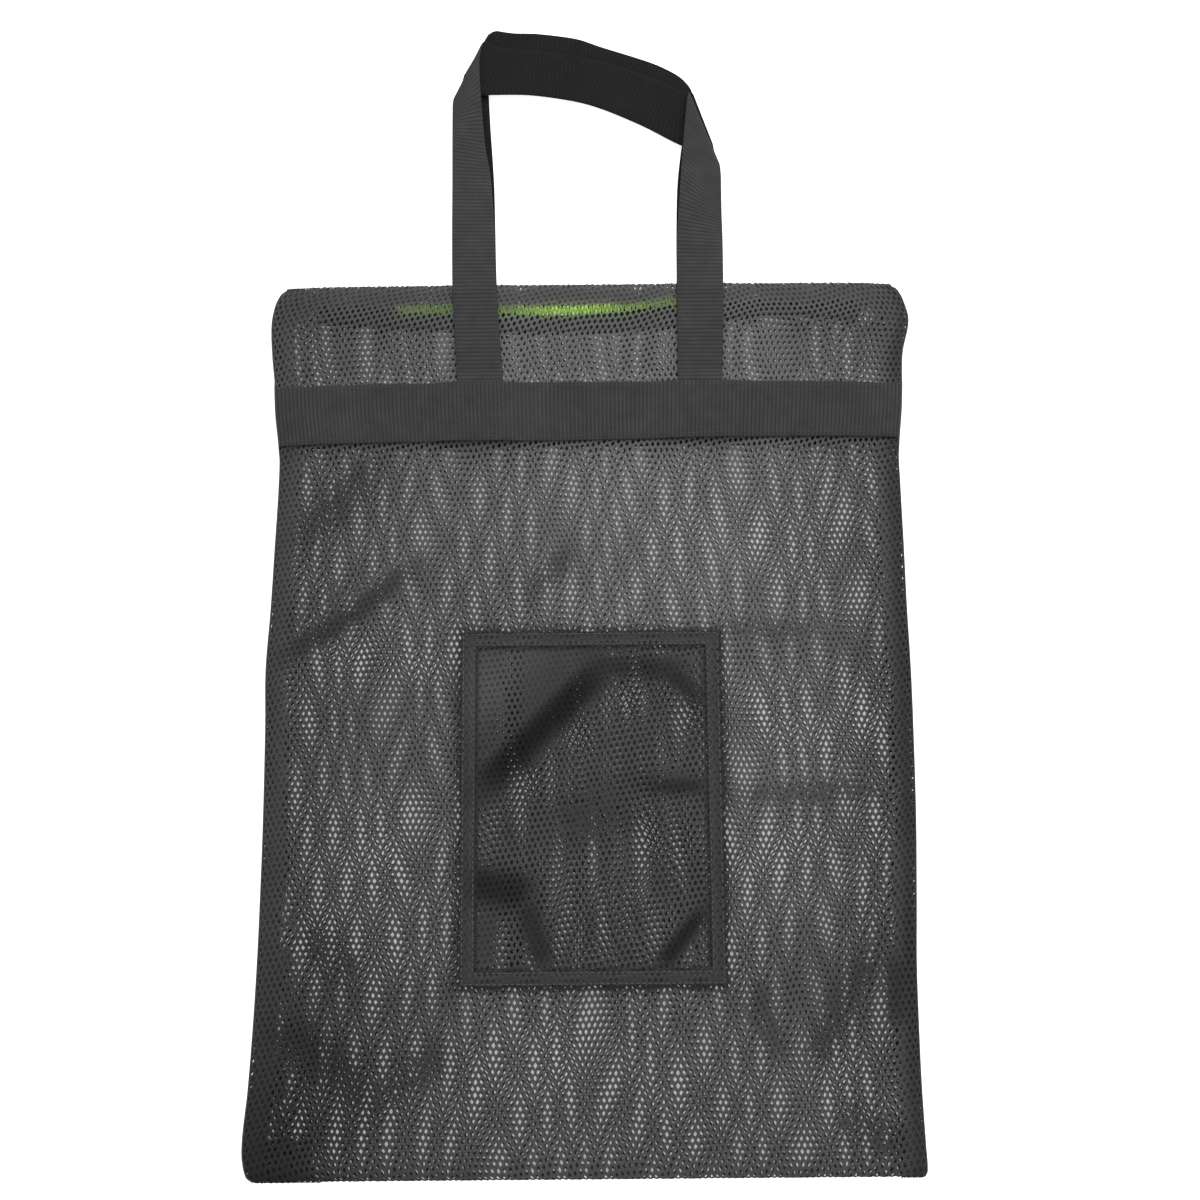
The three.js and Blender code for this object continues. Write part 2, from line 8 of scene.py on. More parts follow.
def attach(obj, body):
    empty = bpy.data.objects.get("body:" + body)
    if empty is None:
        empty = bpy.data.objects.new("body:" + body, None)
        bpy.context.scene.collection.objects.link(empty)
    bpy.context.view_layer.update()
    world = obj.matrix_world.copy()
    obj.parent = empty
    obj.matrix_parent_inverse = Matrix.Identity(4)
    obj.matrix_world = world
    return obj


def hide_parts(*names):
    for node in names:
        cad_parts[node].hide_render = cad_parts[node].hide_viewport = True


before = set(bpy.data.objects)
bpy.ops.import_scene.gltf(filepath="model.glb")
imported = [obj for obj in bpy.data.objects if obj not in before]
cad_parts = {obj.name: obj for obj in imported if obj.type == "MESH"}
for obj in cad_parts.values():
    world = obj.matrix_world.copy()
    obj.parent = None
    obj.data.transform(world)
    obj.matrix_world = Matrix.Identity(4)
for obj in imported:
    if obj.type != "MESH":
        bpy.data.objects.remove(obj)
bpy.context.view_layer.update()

# Places are in bag millimetres: X across, Y up from the bottom fold, Z up from the surface.
# ORIGIN is where the frame's own origin lies in them.
MM = 0.001
ORIGIN = np.array([0.5, 316.2, 0.0])

# The body
BODY_LENGTH = 475
MOUTH_DIP = 3.5
MOUTH_RISE = 2
HEM_LINE = 451
HALF_WIDTH = 172.5
SEAM_THICKNESS = 4.4
SIDE_ROUND = 2.2
FOLD_ROUND = 7
SEAM_ALLOWANCE = 11
HEM_DEPTH = 9.5
BACK_HEM_DEPTH = 16
HEM_TURN = 0.6
HEM_CLOTH = 2.2
ALLOWANCE_LIFT = (0.2, 0.9)
ALLOWANCE_RAMP = 3
CORNER_TALL = 21
CORNER_DEEP = 24

# Folds of the front fade across these distances from the sides and the bottom, and between these heights
FOLD_MARGIN = (8, 30)
FOLD_TOP = (350, 373)

# The net: cells on staggered rows that climb to the right on the front
CELL_WIDE = 3.05
CELL_TALL = 3.21
CELL_SIDE = 0.2
ROW_SLOPE = 0.197
GRAIN_LEAN = 0.025
HOLE_SHARE = 0.57
POCKET_HOLE_SHARE = 0.585
CREST_DEPTH = 0.05
STRAND_DEPTH = 0.42
MOUTH_SHIFT = 4.6
ZIP_PULL = 0.19
DRIFT_SEED = 7
DRIFT_WAVES = 12
SWAY = 0.55
SWAY_WAVE = (52, 620)
RISE = 0.85
RISE_WAVE = (38, 120)
SCATTER = (12.9898, 78.233, 43758.5453)
NORMAL_STEP = 0.05
NORMAL_LEAST = 1e-9

# Further layers of net: the thickness that each needs, how deep it lies, its start and its slope.
# The thickness needed is ragged. A side seam has two layers, which end between two distances from it.
BODY_LAYERS = ((0.15, 0.8, (0.9, 1.4), -ROW_SLOPE), (0.95, 1.05, (2.2, 2.9), 0.05))
POCKET_LAYERS = ((0.1, 0.5, (1.9, 0.4), 0.06), (0.45, 0.9, (0.4, 2.3), -0.14))
BODY_RAGGED = 0.7
POCKET_RAGGED = 0.5
LAYER_LEAN = 0.01
LAYER_MARGIN = 1.7
POCKET_LAYER_MARGIN = 1
SEAM_LAYERS = 2
SEAM_LAYERS_END = (9, 16)

# The webbing
GAP = 0.3
WEBBING = 1.4
STEP = WEBBING + GAP
BAND_LOW = 383.2
BAND_HIGH = 416
BAND_SHOULDER = 7
BAND_NARROWING = 2.2
BAND_NARROWS_FROM = -30
BAND_OVER_LEGS = 9
BACK_BAND_CLEAR = 0.05
HANDLE_WIDTH = 25
HANDLE_STEPS = 40
LEG_SHOULDER = 6
LEG_RAMP = 9.5
LEG_CENTRE = 1.1
RIB = 2.2
RIB_SHARE = 0.22
RIB_STEPS = 6

# The pocket
POCKET_LEFT = -67.6
POCKET_RIGHT = 69.6
POCKET_LOW = 96
POCKET_HIGH = 278.8
POCKET_HEM = 8.5
POCKET_EASE = (30, 40)
POCKET_CLOTH = 1.1
POCKET_HEM_CLOTH = 2.0
POCKET_SLOPE = 0.15
POCKET_START = (0.7, 1.1)
POCKET_PLY = 0.55
POCKET_FOLD_MARGIN = 10
POCKET_HEM_STEP = (POCKET_HEM - 0.5, POCKET_HEM + 1.5)

# The zip
ZIP_REACH = 150
TAPE = 0.7
TAPE_WIDTH = 10.8
TAPE_SEAT = 0.35
TAPE_LEVEL = 462.0
COIL = 1.4
COIL_WIDTH = 6.4
COIL_LEFT = -107
COIL_RIGHT = 125
COIL_PITCH = 2.1
COIL_WIRE = 0.42
COIL_STEPS = 14
COIL_INSET = 0.6
WIRE_ASIDE = (0.3, 0.2, 0.93)
# The coil's painted light and shade: its shaded level, the bright middle's place and reach, where it darkens
# on the right, and how much
COIL_SHADED = 0.3
COIL_BRIGHT = (-9, 30)
COIL_DIMS = (46, 64)
COIL_DIMMED = 0.9
GLOW_REACH = 4
GLOW_STARTS = (-108, -96)
SLIDER_X = -113
SLIDER_Y = 462
SLIDER = 2.6
SLIDER_STEPS = 48
SLIDER_HALF = (4.4, 4.2)
PULL_HALF = (2.2, 10)
PULL_Y = -12.9
PULL_RISE = 0.7
PULL = 1.3
BLOCK_POWER = 0.35
PULL_POWER = 0.5

# The slider's outlines from its underside up: share of the height, share of the size
SLIDER_LEVELS = ((0, 0), (0, 0.9), (0.12, 1), (0.88, 1), (1, 0.86), (1, 0))

# Thread
STITCH = 3.0
STITCH_GAP = 0.9
THREAD = 0.24
STITCH_SUNK = 0.1
STITCH_RINGS = 6
STITCH_SIDES = 6
STITCH_ARCH = (0.55, 1.1)
SEAM_THREAD = 0.6
SEAM_THREAD_IN = 0.3
BAND_STITCH_IN = 2.4
BAND_STITCH_ENDS = (-168, 170)
HANDLE_ENDS = ((-72, -47), (50, 75))
HANDLE_STITCH_IN = (2, 6)
POCKET_STITCH_IN = (1.6, POCKET_HEM - 1.4)
TAPE_STITCH_IN = 1.5
HEM_STITCH_IN = 3

# The yarns' fine waves in radians to the metre, the webbing's picks in metres, and the colours
FILAMENT_WAVES = (9000, 5200)
PICK = 0.0011
WEBBING_WAVES = (26000, 3000)
TWILL_WAVE = 7000
WARP_WAVE = 9000
PLY_WAVE = 11000
# Green painted on the net's strands over the zip's coil, as the coil's light
COIL_LIGHT_ON_YARN = (0.17, 0.27, 0.09, 1)
# The coil's lime in painted shade, where it lies deeper in the mouth
LIME_SHADED = (0.03, 0.06, 0.012, 1)
LIME = ((0.5, 0.9, 0.1, 1), (0.75, 1.0, 0.22, 1))
BARE_METAL = (0.3, 0.3, 0.31, 1)
WHITE = (1, 1, 1, 1)

# The camera, as the photograph shows the bag
LENS = 42
SENSOR = 36
AIM = (5.7, -19.0, 3.5)
CAMERA_TILT = 9.32
CAMERA_ROLL = -0.5
CAMERA_DISTANCE = 755.5

# The floor, open and under the bag: heights in metres, how much it glows (less under the bag, as a painted
# shadow of the bag), and the covered part's inset
FLOOR_HEIGHT = (-0.0003, -0.00025)
FLOOR_GLOW = (0.74, 0.222)
FLOOR_INSET = 0.5
FLOOR_REACH = 3

# The light: the sky's level, then the lamp's place and aim and size in metres, and its power
SKY = 0.86
KEY_PLACE = (0.25, 0.8, 0.85)
KEY_AIM = (0, 0.05, 0)
KEY_SIZE = 0.9
KEY_POWER = 9

# Side edges: height above the bottom fold, left edge, right edge
OUTLINE = np.array([
    (0, -171.5, 167.6), (3, -175.4, 169.2), (16, -177.8, 168.9), (45, -175.6, 168.1), (75, -174, 168),
    (105, -172.9, 168.3), (135, -172.3, 169.6), (180, -171.9, 171.3), (230, -172.2, 172),
    (261, -172.9, 172), (293, -171.2, 171.4), (326, -170, 171.2), (360, -168.8, 170.8),
    (381, -168.9, 170.8), (402, -171.4, 173), (421, -172.7, 174.3), (436, -174.4, 175.4),
    (454, -175.4, 179.4), (465, -173.8, 177.2), (471.5, -171, 174.2), (475, -167.6, 170.5),
])

# Swell of the front: height above the bottom fold, rise in the middle, squareness of the section
SWELL = np.array([
    (0, 0, 3), (12, 3.4, 3), (45, 7.6, 3), (140, 8.8, 3.4), (260, 8.8, 3.4), (350, 8, 3.6), (402, 6.6, 4.4),
    (436, 9.9, 5), (462, 11.2, 6), (475, 11.6, 6),
])

# Folds standing up from the front: middle x and y, turn from X in degrees, length, width, height
BODY_FOLDS = np.array([
    (-122, 301, 28, 95, 9, 1.9), (-22, 316, 42, 48, 9, 1.1), (-140, 356, 44, 60, 12, 1.2),
    (-130, 70, -54, 95, 13, 1.7), (-97, 55, 50, 60, 11, 1.5), (125, 89, 44, 75, 10, 1.8),
    (102, 86, -50, 50, 10, 1.2), (98, 284, 0, 60, 9, 1.1), (114, 198, 0, 90, 9, 1.1),
])

# Folds of the pocket's own cloth, with the same columns
POCKET_FOLDS = np.array([
    (-33, 231, 46, 100, 9, 3.2), (24, 264, -3, 60, 8, 2.2), (45, 202, 0, 40, 7, 2.4),
    (10, 185, -12, 40, 9, 1.4), (-45, 149, 4, 40, 10, 2.4), (-36, 122, -79, 44, 8, 1.8),
    (40, 124, 42, 50, 7, 1.8),
])

# Where the front's cloth lies gathered: middle x and y, turn from X in degrees, length, width, then how
# thickly it lies there and how dark it is, which is painted shade
TUCK_LAYERS, TUCK_SHADE = 5, 6
BODY_TUCKS = np.array([
    (-131, 288, 34, 112, 16, 1.7, 0.52), (-138, 297, 34, 90, 30, 0.3, 0.12),
    (-20, 312, 42, 46, 15, 0.6, 0.35), (-138, 352, 44, 70, 26, 0.7, 0.4),
    (-134, 59, -33, 100, 28, 0.8, 0.42), (-90, 51, 36, 62, 22, 0.7, 0.3),
    (-135, 113, -45, 48, 24, 0.6, 0.35), (132, 86, 59, 86, 24, 0.7, 0.36), (92, 77, -68, 52, 22, 0.6, 0.28),
    (98, 280, 0, 70, 16, 0.5, 0.25), (114, 194, 0, 104, 16, 0.5, 0.25), (-168, 10, 0, 62, 40, 1, 0.3),
    (-160, 75, 90, 150, 30, 0.7, 0.12), (150, 22, -30, 54, 24, 0.6, 0.35), (163, 92, 90, 44, 18, 1, 0.5),
    (2, 467.5, 0, 420, 12, 2, 0.2), (2, 451, 0, 420, 20, 0, 0.2), (-160, 462, 0, 40, 30, 1, 0.2),
    (162, 462, 0, 40, 30, 1, 0.2),
])

# Where the pocket's cloth lies gathered, with the same columns, its darkness again painted shade
POCKET_TUCKS = np.array([
    (-25, 227.5, 44.5, 124, 24, 1.6, 1), (-30, 236, 44, 100, 40, 1, 0.35), (22, 260, -4, 76, 19, 1, 0.64),
    (51, 249, -42, 34, 15, 1, 0.7), (46, 197, 0, 38, 12, 1, 0.66), (38, 199, 0, 46, 20, 0.8, 0.35),
    (4, 184, 20, 54, 40, 0.5, 0.32), (-47, 146, -10, 46, 27, 1.2, 0.85), (-29, 123, -73, 46, 17, 1, 0.72),
    (-54, 121, 90, 34, 18, 1.4, 0.2), (47, 120, 51, 48, 12, 1.2, 0.9), (-42, 250, 43, 112, 64, 1.8, 0),
])

# How dark the cloth lies: all over, on the left and right seams, and inside the pocket and along its hems
BODY_SHADE = 0.27
SEAM_SHADE = (0.14, 0.52)
SEAM_FADE = (5, 13)
POCKET_SHADE = (0.53, 0.68)
POCKET_HEM_FADE = (POCKET_HEM - 1, POCKET_HEM + 3)
# Along the pocket's hems: a dark line at the hem's inner edge, a painted highlight on the ridge a little
# inside it, and the pocket's painted shadow on the body around it
POCKET_HEM_LINE = 0.7
POCKET_HIGHLIGHT = 0.2
POCKET_RIDGE_IN = 2.6
POCKET_RIDGE_REACH = 0.9
POCKET_SHADOW = 0.5
POCKET_SHADOW_FADE = (0.5, 6)

# Where the net is stretched open at the pocket: middle x and y, reach across and along, how far
POCKET_SPOTS = np.array([
    (-7, 226, 7, 10, 1.2), (-33, 200, 7, 10, 1.2), (19, 243, 7, 9, 1.2), (52, 235, 7, 8, 1),
    (31, 171, 6, 15, 1.1), (23, 142, 7, 12, 0.6), (-3, 121, 7, 12, 0.6), (14, 121, 7, 10, 0.3),
    (5, 147, 6, 12, 0.2), (-43, 180, 7, 10, 0.6), (38, 246, 6, 7, 0.6), (48, 170, 6, 10, 0.4),
    (40, 148, 6, 12, 0.2), (-14, 160, 5, 12, 0.2), (-23, 120, 6, 10, 0.3),
])
POCKET_PULL = 0.23

# Painted light on the pocket, where its raised cloth faces the light, with the same columns
POCKET_LIGHT = np.array([(-48, 250, 26, 26, 0.17)])

# Where the body's net lies open and where it is drawn closer, with the same columns
BODY_SPOTS = np.array([
    (-124, 269, 21, 13, 1), (-90, 262, 17, 13, 1), (-113, 162, 21, 23, 1), (-144, 123, 14, 13, 1),
    (-110, 114, 17, 13, 0.8), (-12, 62, 28, 20, 1), (-107, 42, 17, 20, 0.8), (-55, 52, 17, 17, 0.7),
    (82, 160, 16, 20, 1), (107, 166, 16, 17, 1), (152, 235, 14, 17, 1), (89, 235, 16, 17, 1),
    (125, 226, 16, 17, 0.9), (87, 332, 16, 17, 0.9), (45, 333, 16, 17, 0.8), (124, 327, 16, 17, 0.6),
    (147, 177, 12, 17, 0.9), (81, 108, 14, 17, 0.9), (131, 48, 17, 23, 0.7), (45, 45, 21, 17, 0.5),
    (-114, 210, 42, 13, -1), (-151, 84, 21, 13, -1), (113, 276, 56, 13, -1), (110, 195, 49, 8, -1),
    (125, 103, 35, 17, -1), (-10, 324, 35, 12, -0.6), (-103, 240, 36, 12, -1.4), (106, 82, 28, 13, -0.6),
    (-73, 84, 24, 12, -0.6), (-94, 372, 28, 13, -0.5), (0, 436, 260, 20, -1), (-120, 345, 70, 60, -0.4),
    (0, 0, 400, 7, -1.8), (-132, 58, 48, 50, -0.6), (115, 95, 60, 24, -0.5),
])
BODY_PULL = 0.075

# Painted light and shade on the body, lighter in the upper middle and darker at the sides, the bottom and
# the lower left: middle x and y, reach across and along, change in darkness
BODY_PATCHES = np.array([
    (40, 350, 90, 80, -0.3), (-178, 240, 60, 400, 0.24), (178, 240, 45, 400, 0.26),
    (-130, 58, 60, 62, 0.32), (95, 190, 40, 90, -0.12), (20, 430, 130, 30, -0.26), (0, 15, 220, 24, 0.06),
    (0, 0, 400, 6, 0.22), (-172, 8, 44, 38, 0.25), (115, 94, 60, 26, 0.16),
])

# Lower edge of the front zip tape: x, height above the bottom fold
TAPE_SAG = np.array([
    (-150, 452), (-103, 447.4), (-48, 444.4), (8, 444.4), (57, 447.4), (90, 452), (118, 452.9),
    (150, 450.5),
])

# Lower edge of the back zip tape: x, height above the bottom fold
BACK_TAPE_WAVE = np.array([
    (-150, 456), (-90, 454.8), (-43, 454.6), (-16, 453.6), (6, 454.6), (25, 456.6), (42, 458), (80, 458.4),
    (150, 457),
])

# Handles from the left end to the right one: outer edge x, y, z, then inner edge x, y, z.
# On the body the heights are not used: the strap lies on the front there.
ON = math.nan
FRONT_HANDLE = np.array([
    (-70.6, 386, ON, -45.4, 386, ON), (-70.8, 416, ON, -45.6, 416, ON),
    (-73.6, 470.5, ON, -49.4, 470.5, ON), (-74.2, 500, 14.8, -50.4, 500, 14.2),
    (-74.6, 535, 12.4, -53, 535, 10.8), (-74.9, 560, 11.4, -56.6, 558, 9), (-75, 576, 10.9, -59, 586, 8.6),
    (-75, 583, 9.8, -60, 610, 8.8), (-73.6, 587, 7.6, -57.6, 622.4, 7.2),
    (-69, 589.4, 5.5, -53, 621.2, 5.4), (-55, 590.4, 4.9, -44, 619, 4.9), (-31, 590, 4.9, -27, 617.4, 4.9),
    (-6, 586, 4.9, 0, 613, 4.9), (11, 580.6, 4.9, 20.5, 607.2, 4.9), (32.6, 570.6, 4.9, 44.6, 597.6, 4.9),
    (50, 560.8, 4.9, 54.5, 592.4, 4.9), (65, 553, 5.2, 58.4, 591, 5.5),
    (74.6, 546.6, 7.2, 59.4, 589.4, 7.2), (76.3, 540, 9.6, 58, 583.5, 9),
    (76.2, 529, 11.4, 55.6, 560, 10.2), (76, 513, 13, 52.8, 526, 12.2), (76, 497, 15, 50.8, 499, 14.8),
    (75.6, 470.5, ON, 50, 470.5, ON), (74, 416, ON, 49.8, 416, ON), (74, 386, ON, 49.8, 386, ON),
])
BACK_HANDLE = np.array([
    (-71.5, 386, 2.45, -46.5, 386, 2.45), (-71.7, 416.1, 2.45, -46.7, 416.1, 2.45),
    (-72, 423.8, 0.8, -47, 423.8, 0.8), (-74.2, 475, 0.8, -50.2, 475, 0.8),
    (-74.8, 535, 0.8, -51.8, 535, 0.8), (-74.4, 572, 1.7, -54.2, 574, 1.5),
    (-72.4, 592, 2.7, -55.6, 604, 2.6), (-70, 601.5, 2.5, -55.6, 627, 2.5),
    (-68, 604.4, 1.7, -52, 632.2, 1.6), (-63, 605.4, 0.85, -46, 632, 0.85),
    (-53, 605.8, 0.8, -40, 631.2, 0.8), (-31, 605.2, 0.8, -26, 630.6, 0.8),
    (-10, 602.4, 0.8, -5, 627.4, 0.8), (5, 597.6, 0.8, 10, 622, 0.8), (28, 588.8, 0.8, 38.4, 612, 0.8),
    (45, 579, 0.8, 52.6, 604.6, 0.8), (60, 570.6, 0.85, 58.6, 599, 0.85), (71, 563, 1.6, 61.6, 593, 1.6),
    (73.6, 556, 2.6, 60.6, 584, 2.6), (74.6, 545, 2.7, 56, 565, 2.7), (75.4, 527, 1.4, 52.4, 538, 1.4),
    (75.6, 505, 0.8, 51.2, 508, 0.8), (75.4, 475, 0.8, 50.8, 475, 0.8),
    (74.8, 423.8, 0.8, 49.8, 423.8, 0.8), (74.6, 416.1, 2.45, 49.6, 416.1, 2.45),
    (74.6, 386, 2.45, 49.6, 386, 2.45),
])
HANDLE_TENSION = 0.45
LEG_STRIPS = ((-78, -44), (47, 80))


# Numbers and tables
def smooth(at, low, high):
    """Nothing up to low, one from high on, and 3t^2 - 2t^3 between."""
    share = np.clip((at - low) / (high - low), 0, 1)
    return share * share * (3 - 2 * share)


def mix(low, high, share):
    """The straight mix of two values."""
    return low + (high - low) * share


def shelf(at, low, high, shoulder):
    """One between low and high, falling smoothly to nothing across a shoulder on each side."""
    return smooth(at, low - shoulder, low) * (1 - smooth(at, high, high + shoulder))


def cubic(t, start, leave, end, arrive):
    """The cubic between two values with given slopes at both, at a share t of the way."""
    first = (1 + 2 * t) * (1 - t) ** 2 * start + t * (1 - t) ** 2 * leave
    return first + t * t * (3 - 2 * t) * end + t * t * (t - 1) * arrive


def read(table, column, at):
    """A table's column at places along its first: cubics whose slopes come from the rows on either side."""
    key = table[:, 0]
    value = table[:, column]
    last = len(key) - 1
    before = np.maximum(np.arange(last + 1) - 1, 0)
    after = np.minimum(np.arange(last + 1) + 1, last)
    slope = (value[after] - value[before]) / (key[after] - key[before])
    place = np.clip(at, key[0], key[-1])
    i = np.clip(np.searchsorted(key, place) - 1, 0, last - 1)
    span = key[i + 1] - key[i]
    return cubic((place - key[i]) / span, value[i], span * slope[i], value[i + 1], span * slope[i + 1])


def stack(x, y, z):
    """Three arrays as rows of points."""
    return np.stack(np.broadcast_arrays(x, y, z), axis=-1).astype(float)


# The bag's own shape
def sides(y):
    """Middle and half width of the bag at a height."""
    left = read(OUTLINE, 1, y)
    right = read(OUTLINE, 2, y)
    return (left + right) / 2, (right - left) / 2


def leg_share(x, shoulder=LEG_SHOULDER):
    """One over the handle legs and nothing away from them."""
    return sum(shelf(x, low, high, shoulder) for low, high in LEG_STRIPS)


def pocket_edge(x, y):
    """How far inside the pocket's nearest edge a place lies, and below nothing how far outside."""
    across = np.minimum(x - POCKET_LEFT, POCKET_RIGHT - x)
    return np.minimum(across, np.minimum(y - POCKET_LOW, POCKET_HIGH - y))


def run_along(line):
    """Distance along a line of points from its start: the sum of its steps."""
    return np.concatenate([[0], np.cumsum(np.linalg.norm(np.diff(line, axis=0), axis=1))])


def on_line(row, x, y):
    """Distances along and across a line that a table's row gives by its middle and its turn."""
    c = math.cos(math.radians(row[2]))
    s = math.sin(math.radians(row[2]))
    return (x - row[0]) * c + (y - row[1]) * s, (y - row[1]) * c - (x - row[0]) * s


def fold_height(folds, x, y):
    """Sum of ridges, each a bell across its line that fades towards the line's ends."""
    total = np.zeros(np.broadcast(x, y).shape)
    for fold in folds:
        length, width, height = fold[3:]
        along, across = on_line(fold, x, y)
        fade = 1 - smooth(np.abs(along), 0.3 * length, 0.6 * length)
        total = total + height * fade * np.exp(-((across / width) ** 2))
    return total


def gathered(tucks, column, x, y):
    """How thickly cloth lies, or how dark it is: the most of flat-topped bells, each along its line."""
    most = np.zeros(np.broadcast(x, y).shape)
    for tuck in tucks:
        along, across = on_line(tuck, x, y)
        bell = np.exp(-2 * np.abs(across / (tuck[4] / 2)) ** 3)
        fade = 1 - smooth(np.abs(along / (tuck[3] / 2)), 0.4, 1.1)
        most = np.maximum(most, tuck[column] * bell * fade)
    return most


def bells(table, x, y):
    """Sum of bells over a plane, each with its own middle, reach and height."""
    total = np.zeros(np.broadcast(x, y).shape)
    for middle_x, middle_y, long, high, size in table:
        total = total + size * np.exp(-(((x - middle_x) / long) ** 2) - ((y - middle_y) / high) ** 2)
    return total


def scattered(u, v):
    """A repeatable draw between nothing and one at each place: the fraction of a steep sine."""
    return np.modf(np.abs(np.sin(u * SCATTER[0] + v * SCATTER[1])) * SCATTER[2])[0]


def back_height(x, y):
    """The underside: flat on the surface, and lifted by the webbing below it."""
    band = shelf(y, BAND_LOW, BAND_HIGH, BAND_SHOULDER)
    return STEP * (band + leg_share(x) * smooth(y, BAND_LOW - LEG_RAMP, BAND_LOW))


def swell_share(x, y):
    """How far the front has risen: one less a power of the place across."""
    middle, half = sides(y)
    return 1 - np.clip(np.abs((x - middle) / half), 0, 1) ** read(SWELL, 2, y)


def plain_front(x, y):
    """The front without folds: the seam's height, the band's step, and the middle's rise times its share."""
    band = STEP * shelf(y, BAND_LOW, BAND_HIGH, BAND_SHOULDER)
    return band + SEAM_THICKNESS + read(SWELL, 1, y) * swell_share(x, y)


def front_height(x, y):
    """The front with its folds, which die out before the sides, the bottom and the band."""
    middle, half = sides(y)
    room = half - np.abs(x - middle)
    fade = smooth(room, *FOLD_MARGIN) * smooth(y, *FOLD_MARGIN) * (1 - smooth(y, *FOLD_TOP))
    return plain_front(x, y) + fade * fold_height(BODY_FOLDS, x, y)


FOLD_ARC = math.pi / 2 * math.hypot(FOLD_ROUND, SIDE_ROUND) / math.sqrt(2)
SIDE_ARC = math.pi / 2 * SIDE_ROUND
FLAT_LENGTH = FOLD_ARC - FOLD_ROUND + BODY_LENGTH
FLAT_HALF = SIDE_ARC - SIDE_ROUND + HALF_WIDTH


def body_cloth(u, v):
    """The bag's one sheet in space: v above nothing is the front and below it the back.

    It goes round the bottom fold and the side seams on quarter rounds. Past a side seam it turns in as
    the seam allowance, and past the mouth it turns over a small round and back down as the hem."""
    length = np.abs(v)
    front = np.where(v >= 0, 1.0, -1.0)
    fold_turn = np.minimum(length / FOLD_ARC, 1) * math.pi / 2
    y = np.where(length < FOLD_ARC, FOLD_ROUND * (1 - np.cos(fold_turn)), FOLD_ROUND + length - FOLD_ARC)
    past = np.maximum(length - FLAT_LENGTH, 0)
    hem_turn = np.minimum(past / HEM_TURN, math.pi)
    back_down = np.maximum(past - math.pi * HEM_TURN, 0)
    y = np.where(past > 0, BODY_LENGTH + HEM_TURN * np.sin(hem_turn) - back_down, y)
    hem_in = HEM_TURN * (1 - np.cos(hem_turn))
    room = FLAT_HALF - np.abs(u)
    side_turn = np.clip(room / SIDE_ARC, 0, 1) * math.pi / 2
    inset = np.where(room < SIDE_ARC, SIDE_ROUND * (1 - np.cos(side_turn)), SIDE_ROUND + room - SIDE_ARC)
    inset = np.where(room < 0, -room, inset)
    middle, half = sides(y)
    x = middle + np.sign(u) * (HALF_WIDTH - inset) * half / HALF_WIDTH
    bend = np.where(front > 0, -MOUTH_DIP, MOUTH_RISE) * smooth(y + back_down, HEM_LINE + 1, BODY_LENGTH)
    y = y + bend * swell_share(x, np.minimum(y, BODY_LENGTH))
    low = back_height(x, y)
    outer = np.where(front > 0, front_height(x, y), low)
    seam = low + SEAM_THICKNESS / 2
    shown = mix(seam, outer - front * hem_in, np.sin(fold_turn) * np.sin(side_turn))
    tucked = seam + front * np.sin(fold_turn) * mix(*ALLOWANCE_LIFT, smooth(-room, 0, ALLOWANCE_RAMP))
    return stack(x, y, np.where(room < 0, tucked, shown))


def drift(u, v):
    """Slow waves in the cloth that shift the net by about a millimetre: seeded sines over the sheet.

    They are short across the sheet and long along it, so that the columns of holes stay in line."""
    seeds = np.random.default_rng(DRIFT_SEED)
    share = math.sqrt(2 / DRIFT_WAVES)
    moved = []
    for size, shortest in ((SWAY, SWAY_WAVE), (RISE, RISE_WAVE)):
        wave = seeds.uniform(-1, 1, (2, DRIFT_WAVES)) * 2 * math.pi / np.array(shortest)[:, None]
        start = seeds.uniform(0, 2 * math.pi, DRIFT_WAVES)
        sines = np.sin(np.multiply.outer(u, wave[0]) + np.multiply.outer(v, wave[1]) + start)
        moved.append(size * share * sines.sum(axis=-1))
    return u + moved[0], v + moved[1]


def sunk(surface, u, v, depth):
    """Points of a surface moved in along its normal, which is the cross product of its two slopes."""
    across = surface(u + NORMAL_STEP, v) - surface(u - NORMAL_STEP, v)
    along = surface(u, v + NORMAL_STEP) - surface(u, v - NORMAL_STEP)
    normal = np.cross(across, along)
    normal /= np.maximum(np.linalg.norm(normal, axis=-1, keepdims=True), NORMAL_LEAST)
    return surface(u, v) - normal * depth[:, None]


# The net
def even_holes(u, v):
    """The net's usual openness."""
    return HOLE_SHARE


def pocket_holes(u, v):
    """The openness of the pocket's net: a level, and more where it is stretched."""
    return POCKET_HOLE_SHARE + POCKET_PULL * bells(POCKET_SPOTS, u, v)


def pitches(low, high, pitch):
    """Whole numbers of pitches that cover a stretch, with two to spare on each side."""
    return np.arange(math.floor(low / pitch) - 2, math.ceil(high / pitch) + 3)


